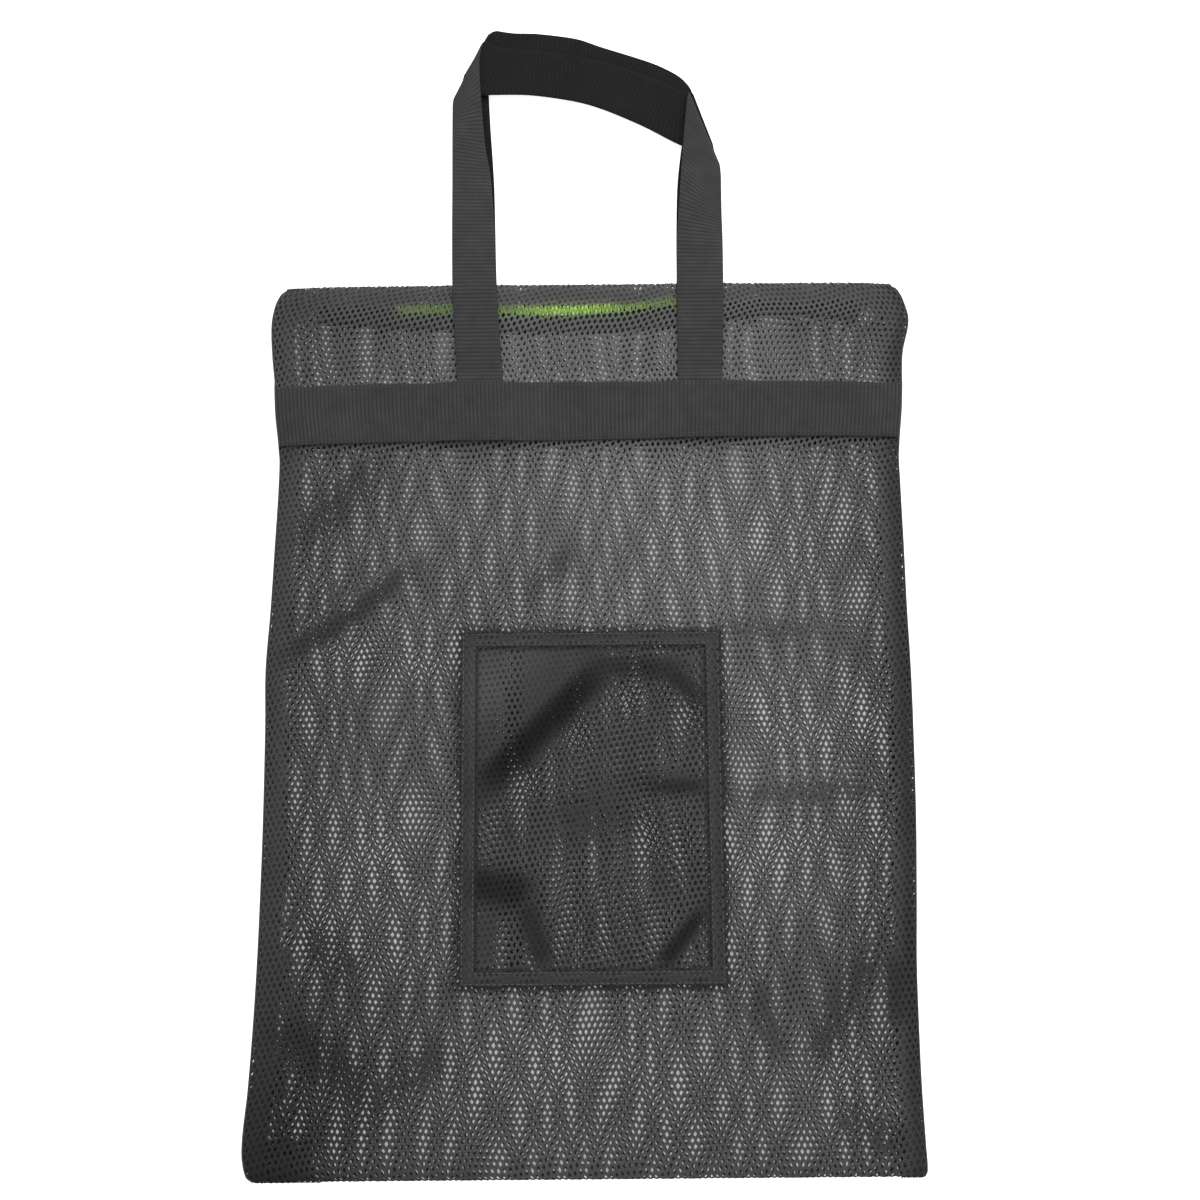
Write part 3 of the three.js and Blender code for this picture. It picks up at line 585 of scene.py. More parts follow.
def net(low, high, keep, surface, slope=ROW_SLOPE, lean=0.0, start=(0, 0), deep=0.0, hole_share=even_holes):
    """A hexagon net over a flat stretch of cloth: points in space, faces and places on the cloth.

    Cells sit on staggered rows, u = (i + a half on odd rows) * CELL_WIDE and v = j * CELL_TALL; then u grows
    by lean * v and v by slope * u. Each is a tall hexagon whose strands fall from the crest on its border to
    the hole, the same hexagon shrunk by hole_share. Cells where keep(u, v) holds are made, and surface(u, v)
    puts their corners in space, as far below it as deep."""
    slack = abs(slope) * max(abs(low[0]), abs(high[0]))
    sway = abs(lean) * max(abs(low[1]), abs(high[1])) + abs(lean) * slack
    columns = pitches(low[0] - sway, high[0] + sway, CELL_WIDE)
    rows = pitches(low[1] - slack, high[1] + slack, CELL_TALL)
    column, row = np.meshgrid(columns, rows)
    odd = row % 2
    u = (column + 0.5 * odd) * CELL_WIDE + start[0]
    v = row * CELL_TALL + start[1]
    tip = (1 - CELL_SIDE) * CELL_TALL
    side = CELL_SIDE * CELL_TALL
    inner = np.zeros(row.shape, bool)
    inner[1:-1, 1:-1] = True
    wanted = np.flatnonzero((inner & keep(u + lean * v, v + slope * u)).ravel())
    odd = odd.ravel()[wanted]
    right_up = wanted + len(columns) + odd
    left_up = right_up - 1
    right_down = wanted - len(columns) + odd
    left_down = right_down - 1
    border = np.stack([
        2 * wanted, 2 * left_up + 1, 2 * left_down, 2 * wanted + 1, 2 * right_down, 2 * right_up + 1,
    ], axis=1)
    used, border = np.unique(border, return_inverse=True)
    border = border.reshape(-1, 6)
    crest_u = u.ravel()[used // 2]
    crest_v = v.ravel()[used // 2] + np.where(used % 2, -tip, tip)
    half = CELL_WIDE / 2
    corner = np.array([(0, tip), (-half, side), (-half, -side), (0, -tip), (half, -side), (half, side)])
    middle_u = u.ravel()[wanted][:, None]
    middle_v = v.ravel()[wanted][:, None]
    open_share = hole_share(middle_u, middle_v + slope * middle_u)
    hole_u = (middle_u + open_share * corner[:, 0]).ravel()
    hole_v = (middle_v + open_share * corner[:, 1]).ravel()
    hole = len(used) + np.arange(6 * len(wanted)).reshape(-1, 6)
    faces = np.stack([border, np.roll(border, -1, 1), np.roll(hole, -1, 1), hole], axis=2).reshape(-1, 4)
    all_u = np.concatenate([crest_u, hole_u])
    all_v = np.concatenate([crest_v, hole_v])
    all_u, all_v = all_u + lean * all_v, all_v + slope * all_u
    depth = deep + np.where(np.arange(len(all_u)) < len(used), CREST_DEPTH, STRAND_DEPTH)
    return sunk(surface, all_u, all_v, depth), faces, np.stack([all_u, all_v], axis=1)


def joined(parts):
    """Several point, face and place sets as one."""
    counts = np.cumsum([0] + [len(points) for points, _, _ in parts[:-1]])
    return (
        np.concatenate([points for points, _, _ in parts]),
        np.concatenate([faces + count for (_, faces, _), count in zip(parts, counts)]),
        np.concatenate([places for _, _, places in parts]),
    )


def drifting_cloth(u, v):
    """The bag's sheet with its net shifted by the slow waves."""
    return body_cloth(*drift(u, v))


def height_on(v):
    """Height above the bottom fold of a place along the front's sheet."""
    return v - FOLD_ARC + FOLD_ROUND


def body_shade(u, v):
    """How dark the body's cloth lies at places on the sheet.

    Its patches of painted light and shade come first. Then come the painted shade of its tucks, the side
    seams and the pocket's painted shadow, whichever is the darkest of them there."""
    y = height_on(np.abs(v))
    patches = BODY_SHADE + bells(BODY_PATCHES, u, y)
    room = FLAT_HALF - np.abs(u)
    seam = (1 - smooth(room, *SEAM_FADE)) * np.where(u < 0, *SEAM_SHADE)
    shadow = POCKET_SHADOW * (1 - smooth(-pocket_edge(u, y), *POCKET_SHADOW_FADE))
    front_only = np.maximum(shadow, gathered(BODY_TUCKS, TUCK_SHADE, u, y))
    deep = np.maximum(seam, np.where(v > 0, front_only, 0))
    return 1 - (1 - np.clip(patches, 0, 1)) * (1 - deep)


def zip_glow(u, v):
    """How much of the coil's light comes through the front's net and is painted green on its strands: a bell
    across the coil times its light.
    """
    coil_y = back_tape_low(u) + TAPE_WIDTH - COIL_WIDTH / 2 - MOUTH_SHIFT
    bell = np.exp(-(((height_on(np.abs(v)) - coil_y) / GLOW_REACH) ** 2))
    return np.where(v > 0, bell * coil_lit(u) * smooth(u, *GLOW_STARTS), 0)


def body_holes(u, v):
    """How open the body's net is: wider over the zip's coil and where it lies open, and closer in places."""
    y = height_on(np.abs(v))
    pulled = POCKET_PULL * bells(POCKET_SPOTS, u, y) + BODY_PULL * bells(BODY_SPOTS, u, y)
    return HOLE_SHARE + ZIP_PULL * np.sqrt(zip_glow(u, v)) + pulled


def body_net(low, high):
    """A stretch of the bag's net between two places along the sheet, with its seam allowances and tucks.

    A tuck is one or two more layers of the same net about a millimetre down, and so is each side seam. At one
    bottom corner the allowance is turned in three times as deep."""
    reach = FLAT_HALF + SEAM_ALLOWANCE

    def keep(u, v):
        corner = (u < 0) & (np.abs(v) < CORNER_TALL)
        return (np.abs(u) < reach + CORNER_DEEP * corner) & (v >= low) & (v < high)

    def keep_layer(u, v):
        room = FLAT_HALF - np.abs(drift(u, v)[0])
        seam = SEAM_LAYERS - SEAM_LAYERS * smooth(room, *SEAM_LAYERS_END)
        thickness = np.maximum(gathered(BODY_TUCKS, TUCK_LAYERS, u, height_on(v)), seam)
        thick = thickness > needed + BODY_RAGGED * scattered(u, v)
        return thick & (room > LAYER_MARGIN) & (v >= low) & (v < min(high, FLAT_LENGTH))

    start_at, end_at = (-reach - CORNER_DEEP, low), (reach, high)
    layers = [net(start_at, end_at, keep, drifting_cloth, lean=GRAIN_LEAN, hole_share=body_holes)]
    if low >= 0:
        for needed, deep, start, slope in BODY_LAYERS:
            layers.append(net(start_at, end_at, keep_layer, drifting_cloth, slope, LAYER_LEAN, start, deep))
    return joined(layers)


# The pocket
def pocket_height(x, y):
    """The pocket's outer face: the body's front, a gap, the cloth or the hem, and folds inside the hems."""
    edge = pocket_edge(x, y)
    fade = smooth(edge, POCKET_HEM, POCKET_HEM + POCKET_FOLD_MARGIN)
    cloth = mix(POCKET_HEM_CLOTH, POCKET_CLOTH, smooth(edge, *POCKET_HEM_STEP))
    return front_height(x, y) + GAP + cloth + fade * fold_height(POCKET_FOLDS, x, y)


def turned(at, low, high, width):
    """A place along cloth whose ends turn under twice, each turn one hem wide: where it lies and how deep."""
    past = np.maximum(np.maximum(low - at, at - high), 0)
    inward = np.where(past < width, past, 2 * width - past)
    place = np.where(at < low, low + inward, np.where(at > high, high - inward, at))
    depth = np.where(past > 0, np.where(past < width, POCKET_PLY, 2 * POCKET_PLY), 0)
    return place, depth


def pocket_cloth(u, v):
    """The pocket's sheet in space, its four edges turned under twice."""
    x, across_in = turned(u, POCKET_LEFT, POCKET_RIGHT, POCKET_HEM)
    y, along_in = turned(v, POCKET_LOW, POCKET_HIGH, POCKET_HEM)
    return stack(x, y, pocket_height(x, y) - across_in - along_in)


def pocket_net():
    """The pocket's net, its turned edges without their corners, and more layers in its hems and tucks."""
    turn = 2 * POCKET_HEM

    def keep(u, v):
        out_across = (u < POCKET_LEFT) | (u > POCKET_RIGHT)
        out_along = (v < POCKET_LOW) | (v > POCKET_HIGH)
        inside = (u > POCKET_LEFT - turn) & (u < POCKET_RIGHT + turn)
        inside &= (v > POCKET_LOW - turn) & (v < POCKET_HIGH + turn)
        return inside & ~(out_across & out_along)

    def keep_layer(u, v):
        edge = pocket_edge(u, v)
        hem = 1 - smooth(edge, POCKET_HEM, POCKET_HEM + 1)
        thickness = np.maximum(gathered(POCKET_TUCKS, TUCK_LAYERS, u, v), hem)
        return (edge > POCKET_LAYER_MARGIN) & (thickness > needed + POCKET_RAGGED * scattered(u, v))

    low = (POCKET_LEFT - turn, POCKET_LOW - turn)
    high = (POCKET_RIGHT + turn, POCKET_HIGH + turn)
    layers = [net(low, high, keep, pocket_cloth, POCKET_SLOPE, 0.0, POCKET_START, 0, pocket_holes)]
    for needed, deep, start, slope in POCKET_LAYERS:
        layers.append(net(low, high, keep_layer, pocket_cloth, slope, 0.0, start, deep, pocket_holes))
    return joined(layers)


def pocket_shade(u, v):
    """How dark the pocket's cloth lies: all over, along its hems with a dark line at their inner edge and a
    painted highlight on a ridge inside it, with painted light on its raised part, and the painted shade of
    its tucks on top of that.
    """
    edge = pocket_edge(u, v)
    plain = mix(POCKET_SHADE[1], POCKET_SHADE[0], smooth(edge, *POCKET_HEM_FADE))
    # A painted highlight along the hem's ridge, and painted light on the pocket's raised part
    ridge = np.exp(-(((edge - POCKET_HEM + POCKET_RIDGE_IN) / POCKET_RIDGE_REACH) ** 2))
    plain = plain - bells(POCKET_LIGHT, u, v) - POCKET_HIGHLIGHT * ridge
    line = POCKET_HEM_LINE * np.exp(-((edge - POCKET_HEM) ** 2))
    return 1 - (1 - plain) * (1 - np.maximum(line, gathered(POCKET_TUCKS, TUCK_SHADE, u, v)))


# The webbing
def tube_faces(rings, around):
    """Faces of a closed skin over rings of points, each ring joined to the next all the way round."""
    ring = np.arange(rings - 1)[:, None] * around
    here = np.arange(around)[None, :]
    after = (here + 1) % around
    faces = [ring + here, ring + after, ring + around + after, ring + around + here]
    return np.stack(faces, axis=2).reshape(-1, 4)


def skin(points, across, along, order=1):
    """A closed skin over rings of points, with each point's two places on the cloth."""
    places = stack(across, along, 0)[..., :2]
    return points.reshape(-1, 3), tube_faces(*points.shape[:2])[:, ::order], places.reshape(-1, 2)


def strap_section(width, across=9, edge=3):
    """A strap's section as shares of half its width and half its thickness: flat faces and round edges."""
    round_share = WEBBING / width
    flat = 1 - round_share
    face = np.linspace(-flat, flat, across)
    turn = np.linspace(math.pi / 2, -math.pi / 2, edge + 2)[1:-1]
    bulge = round_share * np.cos(turn)
    place = [face, flat + bulge, face[::-1], -flat - bulge]
    height = [np.ones(across), np.sin(turn), -np.ones(across), -np.sin(turn)]
    return np.concatenate(place), np.concatenate(height)


def ribbed(distance, height):
    """How far a strap's skin stands off its middle: its section's height, lower in the grooves between ribs.

    A rib is the root of a cosine's size along the strap. Both ends are drawn shut."""
    crown = np.sqrt(np.abs(np.cos(math.pi * distance / RIB)))
    lift = np.multiply.outer(1 - RIB_SHARE + RIB_SHARE * crown, height)
    lift[[0, -1]] = 0
    return lift


def through(points, steps):
    """A smooth line through points: cubics whose slopes are a share of the way between the neighbours."""
    ends = np.concatenate([[2 * points[0] - points[1]], points, [2 * points[-1] - points[-2]]])
    t = np.linspace(0, 1, steps, endpoint=False)[:, None]
    leave = HANDLE_TENSION * (ends[2:-1] - ends[:-3])[:, None]
    arrive = HANDLE_TENSION * (ends[3:] - ends[1:-2])[:, None]
    line = cubic(t, points[:-1, None], leave, points[1:, None], arrive)
    return np.concatenate([line.reshape(-1, points.shape[1]), points[-1:]])


def rows_on_body(table, spacing=7):
    """A handle's rows with more of them where it lies on the body, each at the height of the front there."""
    rows = [table[:1]]
    for row, after in zip(table[:-1], table[1:]):
        lying = np.isnan(row[2]) and np.isnan(after[2])
        steps = max(1, round(abs(after[1] - row[1]) / spacing)) if lying else 1
        share = np.arange(1, steps + 1)[:, None] / steps
        rows.append(mix(row, after, share) if lying else after[None])
    rows = np.concatenate(rows)
    for x in (0, 3):
        seat = front_height(rows[:, x], rows[:, x + 1]) + LEG_CENTRE
        rows[:, x + 2] = np.where(np.isnan(rows[:, x + 2]), seat, rows[:, x + 2])
    return rows


def handle(table, under):
    """A handle: the strap's section carried between two edge lines, ribbed across its length.

    Its inner face looks up on the top stretch, and on the whole of a handle that lies under the other."""
    fine = through(rows_on_body(table), HANDLE_STEPS)
    run = run_along((fine[:, :3] + fine[:, 3:]) / 2)
    distance = np.arange(0, run[-1], RIB / RIB_STEPS)
    line = np.stack([np.interp(distance, run, fine[:, k]) for k in range(6)], axis=1)
    outer, inner = line[:, :3], line[:, 3:]
    across = inner - outer
    up = np.cross(np.gradient((outer + inner) / 2, axis=0), across)
    up *= WEBBING / 2 / np.linalg.norm(up, axis=1, keepdims=True)
    place, height = strap_section(HANDLE_WIDTH)
    lift = ribbed(distance, height)
    share = (place + 1) / 2
    points = outer[:, None] + across[:, None] * share[:, None] + up[:, None] * lift[:, :, None]
    # Faces marked inside get the webbing's darker colour: the inner face partly as painted shade, and on the
    # handle that lies under the other every upward face as painted shade under the upper handle
    looks_up = np.multiply.outer(up[:, 2], height) > 0
    inside = looks_up if under else np.broadcast_to(height > 0.5, lift.shape)
    return *skin(points, share[None] * HANDLE_WIDTH, distance[:, None]), inside.ravel()


def band_rise(x):
    """How much of its narrowing the front band's lower edge has at places across the bag."""
    return smooth(x, BAND_NARROWS_FROM, HALF_WIDTH)


def band(surface, narrowing):
    """A band across the bag between its side edges: the strap's section on a surface, ribbed along X.

    Its lower edge rises to the right by the narrowing."""
    width = BAND_HIGH - BAND_LOW
    distance = np.arange(-HALF_WIDTH, HALF_WIDTH, RIB / RIB_STEPS)
    place, height = strap_section(width)
    share = (place + 1) / 2
    low = BAND_LOW + narrowing * band_rise(distance)[:, None]
    y = mix(low, BAND_HIGH, share)
    middle, half = sides(y)
    x = middle + half * distance[:, None] / HALF_WIDTH
    lift = ribbed(distance, height)
    points = stack(x, y, surface(x, y) + WEBBING / 2 * lift)
    return *skin(points, y - BAND_LOW, distance[:, None], -1), np.zeros(lift.size, bool)


def on_front_band(x, y):
    """Middle of the front band's thickness: on the front, over the handle ends, down at the side seams."""
    middle, half = sides(y)
    room = np.clip((half - np.abs(x - middle)) / SIDE_ROUND, 0, 1)
    seam = back_height(x, y) + SEAM_THICKNESS / 2
    cloth = mix(seam, front_height(x, y), np.sqrt(1 - (1 - room) ** 2))
    return cloth + GAP + STEP * leg_share(x, BAND_OVER_LEGS) + WEBBING / 2


def on_back_band(x, y):
    """Middle of the back band's thickness, flat on the surface."""
    return np.full(np.shape(x), WEBBING / 2 + BACK_BAND_CLEAR)


# The zip
def front_tape_floor(x, y):
    """Underside of the front tape: inside the hem of the front."""
    level = np.minimum(plain_front(x, y), plain_front(x, np.full_like(x, TAPE_LEVEL)))
    return level - HEM_CLOTH - TAPE_SEAT - TAPE


def back_tape_floor(x, y):
    """Underside of the back tape: on the hem of the back."""
    return back_height(x, np.full_like(x, BODY_LENGTH)) + HEM_CLOTH + TAPE_SEAT


def tape(low, floor, steps=300, across=10):
    """A zip tape: a thin strip above its lower edge, its faces rounded together at the edges."""
    x = np.linspace(-ZIP_REACH, ZIP_REACH, steps)[:, None]
    place, height = strap_section(TAPE_WIDTH * 2, across)
    share = (place + 1) / 2
    edge = low(x)
    y = mix(edge, edge + TAPE_WIDTH, share)
    lift = np.broadcast_to(height, y.shape).copy()
    lift[[0, -1]] = 0
    x = np.broadcast_to(x, y.shape)
    points = stack(x, y, floor(x, y) + TAPE / 2 * (1 + lift))
    return skin(points, x, y, -1)


def coil(low, floor):
    """A zip's coil: a flat helix of round wire along X, one turn for each tooth."""
    turns = int((COIL_RIGHT - COIL_LEFT) / COIL_PITCH)
    angle = np.linspace(0, 2 * math.pi * turns, turns * COIL_STEPS)
    x = COIL_LEFT + COIL_PITCH * angle / (2 * math.pi)
    y = low(x) + TAPE_WIDTH - COIL_INSET - COIL_WIDTH / 2 + (COIL_WIDTH / 2 - COIL_WIRE) * np.cos(angle)
    z = floor(x, y) + COIL / 2 + (COIL / 2 - COIL_WIRE) * np.sin(angle)
    return wire(stack(x, y, z), COIL_WIRE)


def wire(line, radius, sides_round=6):
    """A round wire along a line: a circle square to it at each point, set by a direction no wire follows."""
    along = np.gradient(line, axis=0)
    along /= np.linalg.norm(along, axis=1, keepdims=True)
    out = np.cross(along, WIRE_ASIDE)
    out /= np.linalg.norm(out, axis=1, keepdims=True)
    up = np.cross(out, along)
    turn = np.arange(sides_round) * 2 * math.pi / sides_round
    size = np.full(len(line), radius)
    size[[0, -1]] = 0
    ring = out[:, None] * np.cos(turn)[:, None] + up[:, None] * np.sin(turn)[:, None]
    points = line[:, None] + ring * size[:, None, None]
    return skin(points, run_along(line)[:, None], turn[None])


def front_tape_low(x):
    """Lower edge of the front tape, which sags in the middle."""
    return read(TAPE_SAG, 1, x)


def back_tape_low(x):
    """Lower edge of the back tape, which lies in a slight wave."""
    return read(BACK_TAPE_WAVE, 1, x)


def front_coil_floor(x, y):
    """Underside of the front coil, below the tape's inner face."""
    return front_tape_floor(x, y) - GAP - COIL


def back_coil_floor(x, y):
    """Underside of the back coil, on the tape."""
    return back_tape_floor(x, y) + TAPE + GAP


def coil_lit(x):
    """How brightly a coil is painted, as painted light and shade: a bell of light in the middle of the mouth
    over a lower, shaded level that fades out on the right.
    """
    bell = np.exp(-(((x - COIL_BRIGHT[0]) / COIL_BRIGHT[1]) ** 2))
    return (COIL_SHADED + (1 - COIL_SHADED) * bell) * (1 - COIL_DIMMED * smooth(x, *COIL_DIMS))


def squared(wave, power):
    """A wave drawn towards plus and minus one: a power of its size, with its sign."""
    return np.sign(wave) * np.abs(wave) ** power


def slider_body():
    """The zip slider: a block with rounded shoulders and a flat pull, both lofted outlines with soft edges.

    An outline is a cosine across and a sine along, each squared up by a power."""
    turn = np.linspace(0, 2 * math.pi, SLIDER_STEPS, endpoint=False)
    floor = back_coil_floor(np.array([float(SLIDER_X)]), SLIDER_Y)[0]
    sets = []
    for half, middle, power, base, thick in (
        (SLIDER_HALF, 0, BLOCK_POWER, 0, SLIDER),
        (PULL_HALF, PULL_Y, PULL_POWER, PULL_RISE, PULL),
    ):
        flat_x = half[0] * squared(np.cos(turn), BLOCK_POWER)
        flat_y = half[1] * squared(np.sin(turn), power)
        points = np.concatenate([
            stack(SLIDER_X + flat_x * size, SLIDER_Y + middle + flat_y * size, floor + base + thick * level)
            for level, size in SLIDER_LEVELS
        ])
        sets.append((points, tube_faces(len(SLIDER_LEVELS), len(turn)), points[:, :2]))
    return joined(sets)


# Thread
def stitches(line, up):
    """A row of stitches along a line: short rounded pegs, each dipping into the cloth at its two ends."""
    run = run_along(line)
    count = max(1, int(run[-1] / STITCH))
    starts = (np.arange(count) + 0.5) * run[-1] / count
    long = STITCH - STITCH_GAP
    share = np.linspace(-1, 1, STITCH_RINGS)
    places = starts[:, None] + share * long / 2
    path = np.stack([np.interp(places, run, line[:, k]) for k in range(3)], axis=2)
    rise = np.stack([np.interp(starts, run, up[:, k]) for k in range(3)], axis=1)
    path = path + rise[:, None] * (THREAD * (STITCH_ARCH[0] - STITCH_ARCH[1] * share**4))[:, None]
    along = path[:, -1] - path[:, 0]
    along /= np.linalg.norm(along, axis=1, keepdims=True)
    side = np.cross(along, rise)
    turn = np.arange(STITCH_SIDES) * 2 * math.pi / STITCH_SIDES
    ring = side[:, None] * np.cos(turn)[:, None] + rise[:, None] * np.sin(turn)[:, None]
    size = THREAD * np.sqrt(np.maximum(1 - share**6, 0))
    points = path[:, :, None] + ring[:, None] * size[:, None, None]
    peg = tube_faces(STITCH_RINGS, STITCH_SIDES)
    faces = np.arange(count)[:, None, None] * STITCH_RINGS * STITCH_SIDES + peg
    return points.reshape(-1, 3), faces.reshape(-1, 4), points.reshape(-1, 3)[:, :2]


def seam(x, y, height, up=1.0):
    """A stitched line over places in plan: it lies on a height, and points up or down."""
    line = stack(x, y, height(x, y))
    return stitches(line, np.broadcast_to((0.0, 0.0, up), line.shape))


def straight(start, end, spacing=2):
    """Evenly spaced places from one point in plan to another."""
    count = max(2, int(math.dist(start, end) / spacing))
    return np.linspace(start[0], end[0], count), np.linspace(start[1], end[1], count)


def box_rows(left, right, low, high, height):
    """Stitched lines along the four sides of a rectangle in plan."""
    return [seam(*straight(start, end), height) for start, end in (
        ((left, low), (right, low)), ((left, high), (right, high)),
        ((left, low), (left, high)), ((right, low), (right, high)),
    )]


# Putting shapes into the scene
def piece(name, shape, material, slot, *nodes, **marks):
    """A finished piece from points in bag millimetres, quads, and places on its cloth for its UV map.

    Marks are named values at the points, for the material."""
    points, faces, places = shape
    mesh = bpy.data.meshes.new(name)
    mesh.vertices.add(len(points))
    mesh.vertices.foreach_set("co", ((points - ORIGIN) * MM).astype(np.float32).ravel())
    mesh.loops.add(faces.size)
    mesh.loops.foreach_set("vertex_index", faces.astype(np.int32).ravel())
    mesh.polygons.add(len(faces))
    mesh.polygons.foreach_set("loop_start", np.arange(0, faces.size, 4, dtype=np.int32))
    mesh.update(calc_edges=True)
    mesh.polygons.foreach_set("use_smooth", np.ones(len(faces), bool))
    layer = mesh.uv_layers.new(name="cloth")
    layer.data.foreach_set("uv", (places[faces.ravel()] * MM).astype(np.float32).ravel())
    for mark, values in marks.items():
        layer = mesh.attributes.new(mark, "FLOAT", "POINT")
        layer.data.foreach_set("value", values.astype(np.float32))
    mesh.materials.append(material)
    made = bpy.data.objects.new(name, mesh)
    bpy.context.scene.collection.objects.link(made)
    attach(made, "root")
    if nodes:
        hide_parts(*nodes)
    return made


# Shader maths
class Value:
    """A shader socket: arithmetic on it adds Math nodes to its material."""

    def __init__(self, paint, socket):
        self.paint = paint
        self.socket = socket

    def math(self, operation, *values):
        """A Math node on some values."""
        return self.paint.node("ShaderNodeMath", {"operation": operation}, values)

    def __add__(self, other):
        return self.math("ADD", self, other)

    def __radd__(self, other):
        return self.math("ADD", other, self)

    def __sub__(self, other):
        return self.math("SUBTRACT", self, other)

    def __rsub__(self, other):
        return self.math("SUBTRACT", other, self)

    def __mul__(self, other):
        return self.math("MULTIPLY", self, other)

    def __rmul__(self, other):
        return self.math("MULTIPLY", other, self)

    def wave(self):
        """Its sine, from nothing to one."""
        return self.math("SINE", self) * 0.5 + 0.5

    def cosine(self):
        return self.math("COSINE", self)

    def size(self):
        return self.math("ABSOLUTE", self)


class Paint:
    """A material under way: its nodes, and the shader that they feed."""

    def __init__(self, name):
        self.material = bpy.data.materials.new(name)
        self.material.use_nodes = True
        self.tree = self.material.node_tree
        self.shader = self.tree.nodes["Principled BSDF"]

    def node(self, kind, settings=None, inputs=(), output=0):
        """Adds a node: its settings first, then values or links for its sockets, by order or by name."""
        made = self.tree.nodes.new(kind)
        for name, value in (settings or {}).items():
            setattr(made, name, value)
        pairs = inputs.items() if isinstance(inputs, dict) else enumerate(inputs)
        for key, value in pairs:
            self.feed(made.inputs[key], value)
        return Value(self, made.outputs[output])

    def feed(self, socket, value):
        """Links a value to a socket, or sets the socket to a constant."""
        if isinstance(value, Value):
            self.tree.links.new(value.socket, socket)
        else:
            socket.default_value = value

    def noise(self, scale, detail=3.0, roughness=0.55):
        """Noise from nothing to one over the piece, in cells to the metre."""
        place = self.node("ShaderNodeTexCoord", output=3)
        inputs = {"Vector": place, "Scale": scale, "Detail": detail, "Roughness": roughness}
        return self.node("ShaderNodeTexNoise", {}, inputs)

    def mark(self, name):
        """A value that the piece stores at its points."""
        return self.node("ShaderNodeAttribute", {"attribute_name": name}, output=2)

    def cloth_place(self):
        """The two places on the cloth, in metres."""
        spot = self.node("ShaderNodeUVMap", {"uv_map": "cloth"})
        return (
            self.node("ShaderNodeSeparateXYZ", {}, [spot], 0),
            self.node("ShaderNodeSeparateXYZ", {}, [spot], 1),
        )

    def blend(self, share, low, high):
        """A colour between two, by a share."""
        inputs = {0: share, 6: low, 7: high}
        return self.node("ShaderNodeMix", {"data_type": "RGBA"}, inputs, 2)

    def finish(self, colour, roughness, height=None, bump=0.3, depth=0.0002, **constant):
        """Feeds the shader: colour, roughness, bump from a height, and what is the same all over."""
        self.feed(self.shader.inputs["Base Color"], colour)
        self.feed(self.shader.inputs["Roughness"], roughness)
        if height is not None:
            normal = self.node("ShaderNodeBump", {}, {"Strength": bump, "Distance": depth, "Height": height})
            self.feed(self.shader.inputs["Normal"], normal)
        for name, value in constant.items():
            self.shader.inputs[name.replace("_", " ")].default_value = value
        return self.material


def grey(level, warm=0.0):
    """A near-neutral colour."""
    return (level * (1 + warm), level, level * (1 - warm), 1)


def net_yarn():
    """Knitted black yarn: filaments along the strands, slow changes in dye, and the painted light and shade
    of its shade mark, darker where it lies gathered.

    Over the zip's coil its strands are painted green, as the coil's light on them."""
    paint = Paint("net_yarn")
    u, v = paint.cloth_place()
    wave_u, wave_v = u * FILAMENT_WAVES[0], v * FILAMENT_WAVES[1]
    filament = (wave_u + wave_v).wave() * (wave_u - wave_v).wave()
    fuzz = paint.noise(1400)
    slow = paint.noise(22, 2.0)
    deep = paint.mark("shade")
    lit = paint.mark("lit")
    open_yarn = paint.blend(slow * 0.6 + fuzz * 0.4, grey(0.05, 0.01), grey(0.128, 0.005))
    # Painted light and shade from the shade mark, then the coil's painted green light where the lit mark is
    colour = paint.blend(lit, paint.blend(deep, open_yarn, grey(0.004)), COIL_LIGHT_ON_YARN)
    return paint.finish(colour, fuzz * 0.2 + 0.5 + deep * 0.25, filament * 0.7 + fuzz * 0.5, 0.5, 0.00012,
                        Specular_IOR_Level=0.3)


def webbing_yarn():
    """Ribbed webbing: painted shade in the grooves between ribs, picks across each rib, filaments, and a
    darker inner face that is partly painted shade.
    """
    paint = Paint("webbing_yarn")
    across, along = paint.cloth_place()
    picks = (across * (2 * math.pi / PICK)).wave()
    crown = (along * (math.pi / (RIB * MM))).cosine().size()
    filament = (along * WEBBING_WAVES[0] + across * WEBBING_WAVES[1]).wave()
    fuzz = paint.noise(2200)
    slow = paint.noise(30, 2.0)
    inside = paint.mark("inside")
    uneven = paint.noise(140, 2.0)
    # Crowns of the ribs lighter and the grooves darker: painted shade
    shade = slow * 0.3 + fuzz * 0.3 + crown * (uneven * 0.6 + 0.1)
    face = paint.blend(shade, grey(0.01), grey(0.058))
    dark = paint.blend(shade, grey(0.004), grey(0.015))
    # The darker inside colour: partly the inner face's own colour, partly painted shade
    colour = paint.blend(inside, face, dark)
    return paint.finish(colour, fuzz * 0.2 + 0.66, picks * 0.6 + filament * 0.2 + fuzz * 0.4, 0.5, 0.00018,
                        Specular_IOR_Level=0.08)


def tape_yarn():
    """Woven zip tape: a fine twill."""
    paint = Paint("tape_yarn")
    u, v = paint.cloth_place()
    twill = (u * TWILL_WAVE + v * TWILL_WAVE).wave()
    warp = (v * WARP_WAVE).wave()
    fuzz = paint.noise(2600)
    colour = paint.blend(fuzz * 0.5 + twill * 0.5, grey(0.008), grey(0.026))
    weave = twill * 0.6 + warp * 0.4
    return paint.finish(colour, fuzz * 0.15 + 0.7, weave, 0.5, 0.00012, Specular_IOR_Level=0.3)


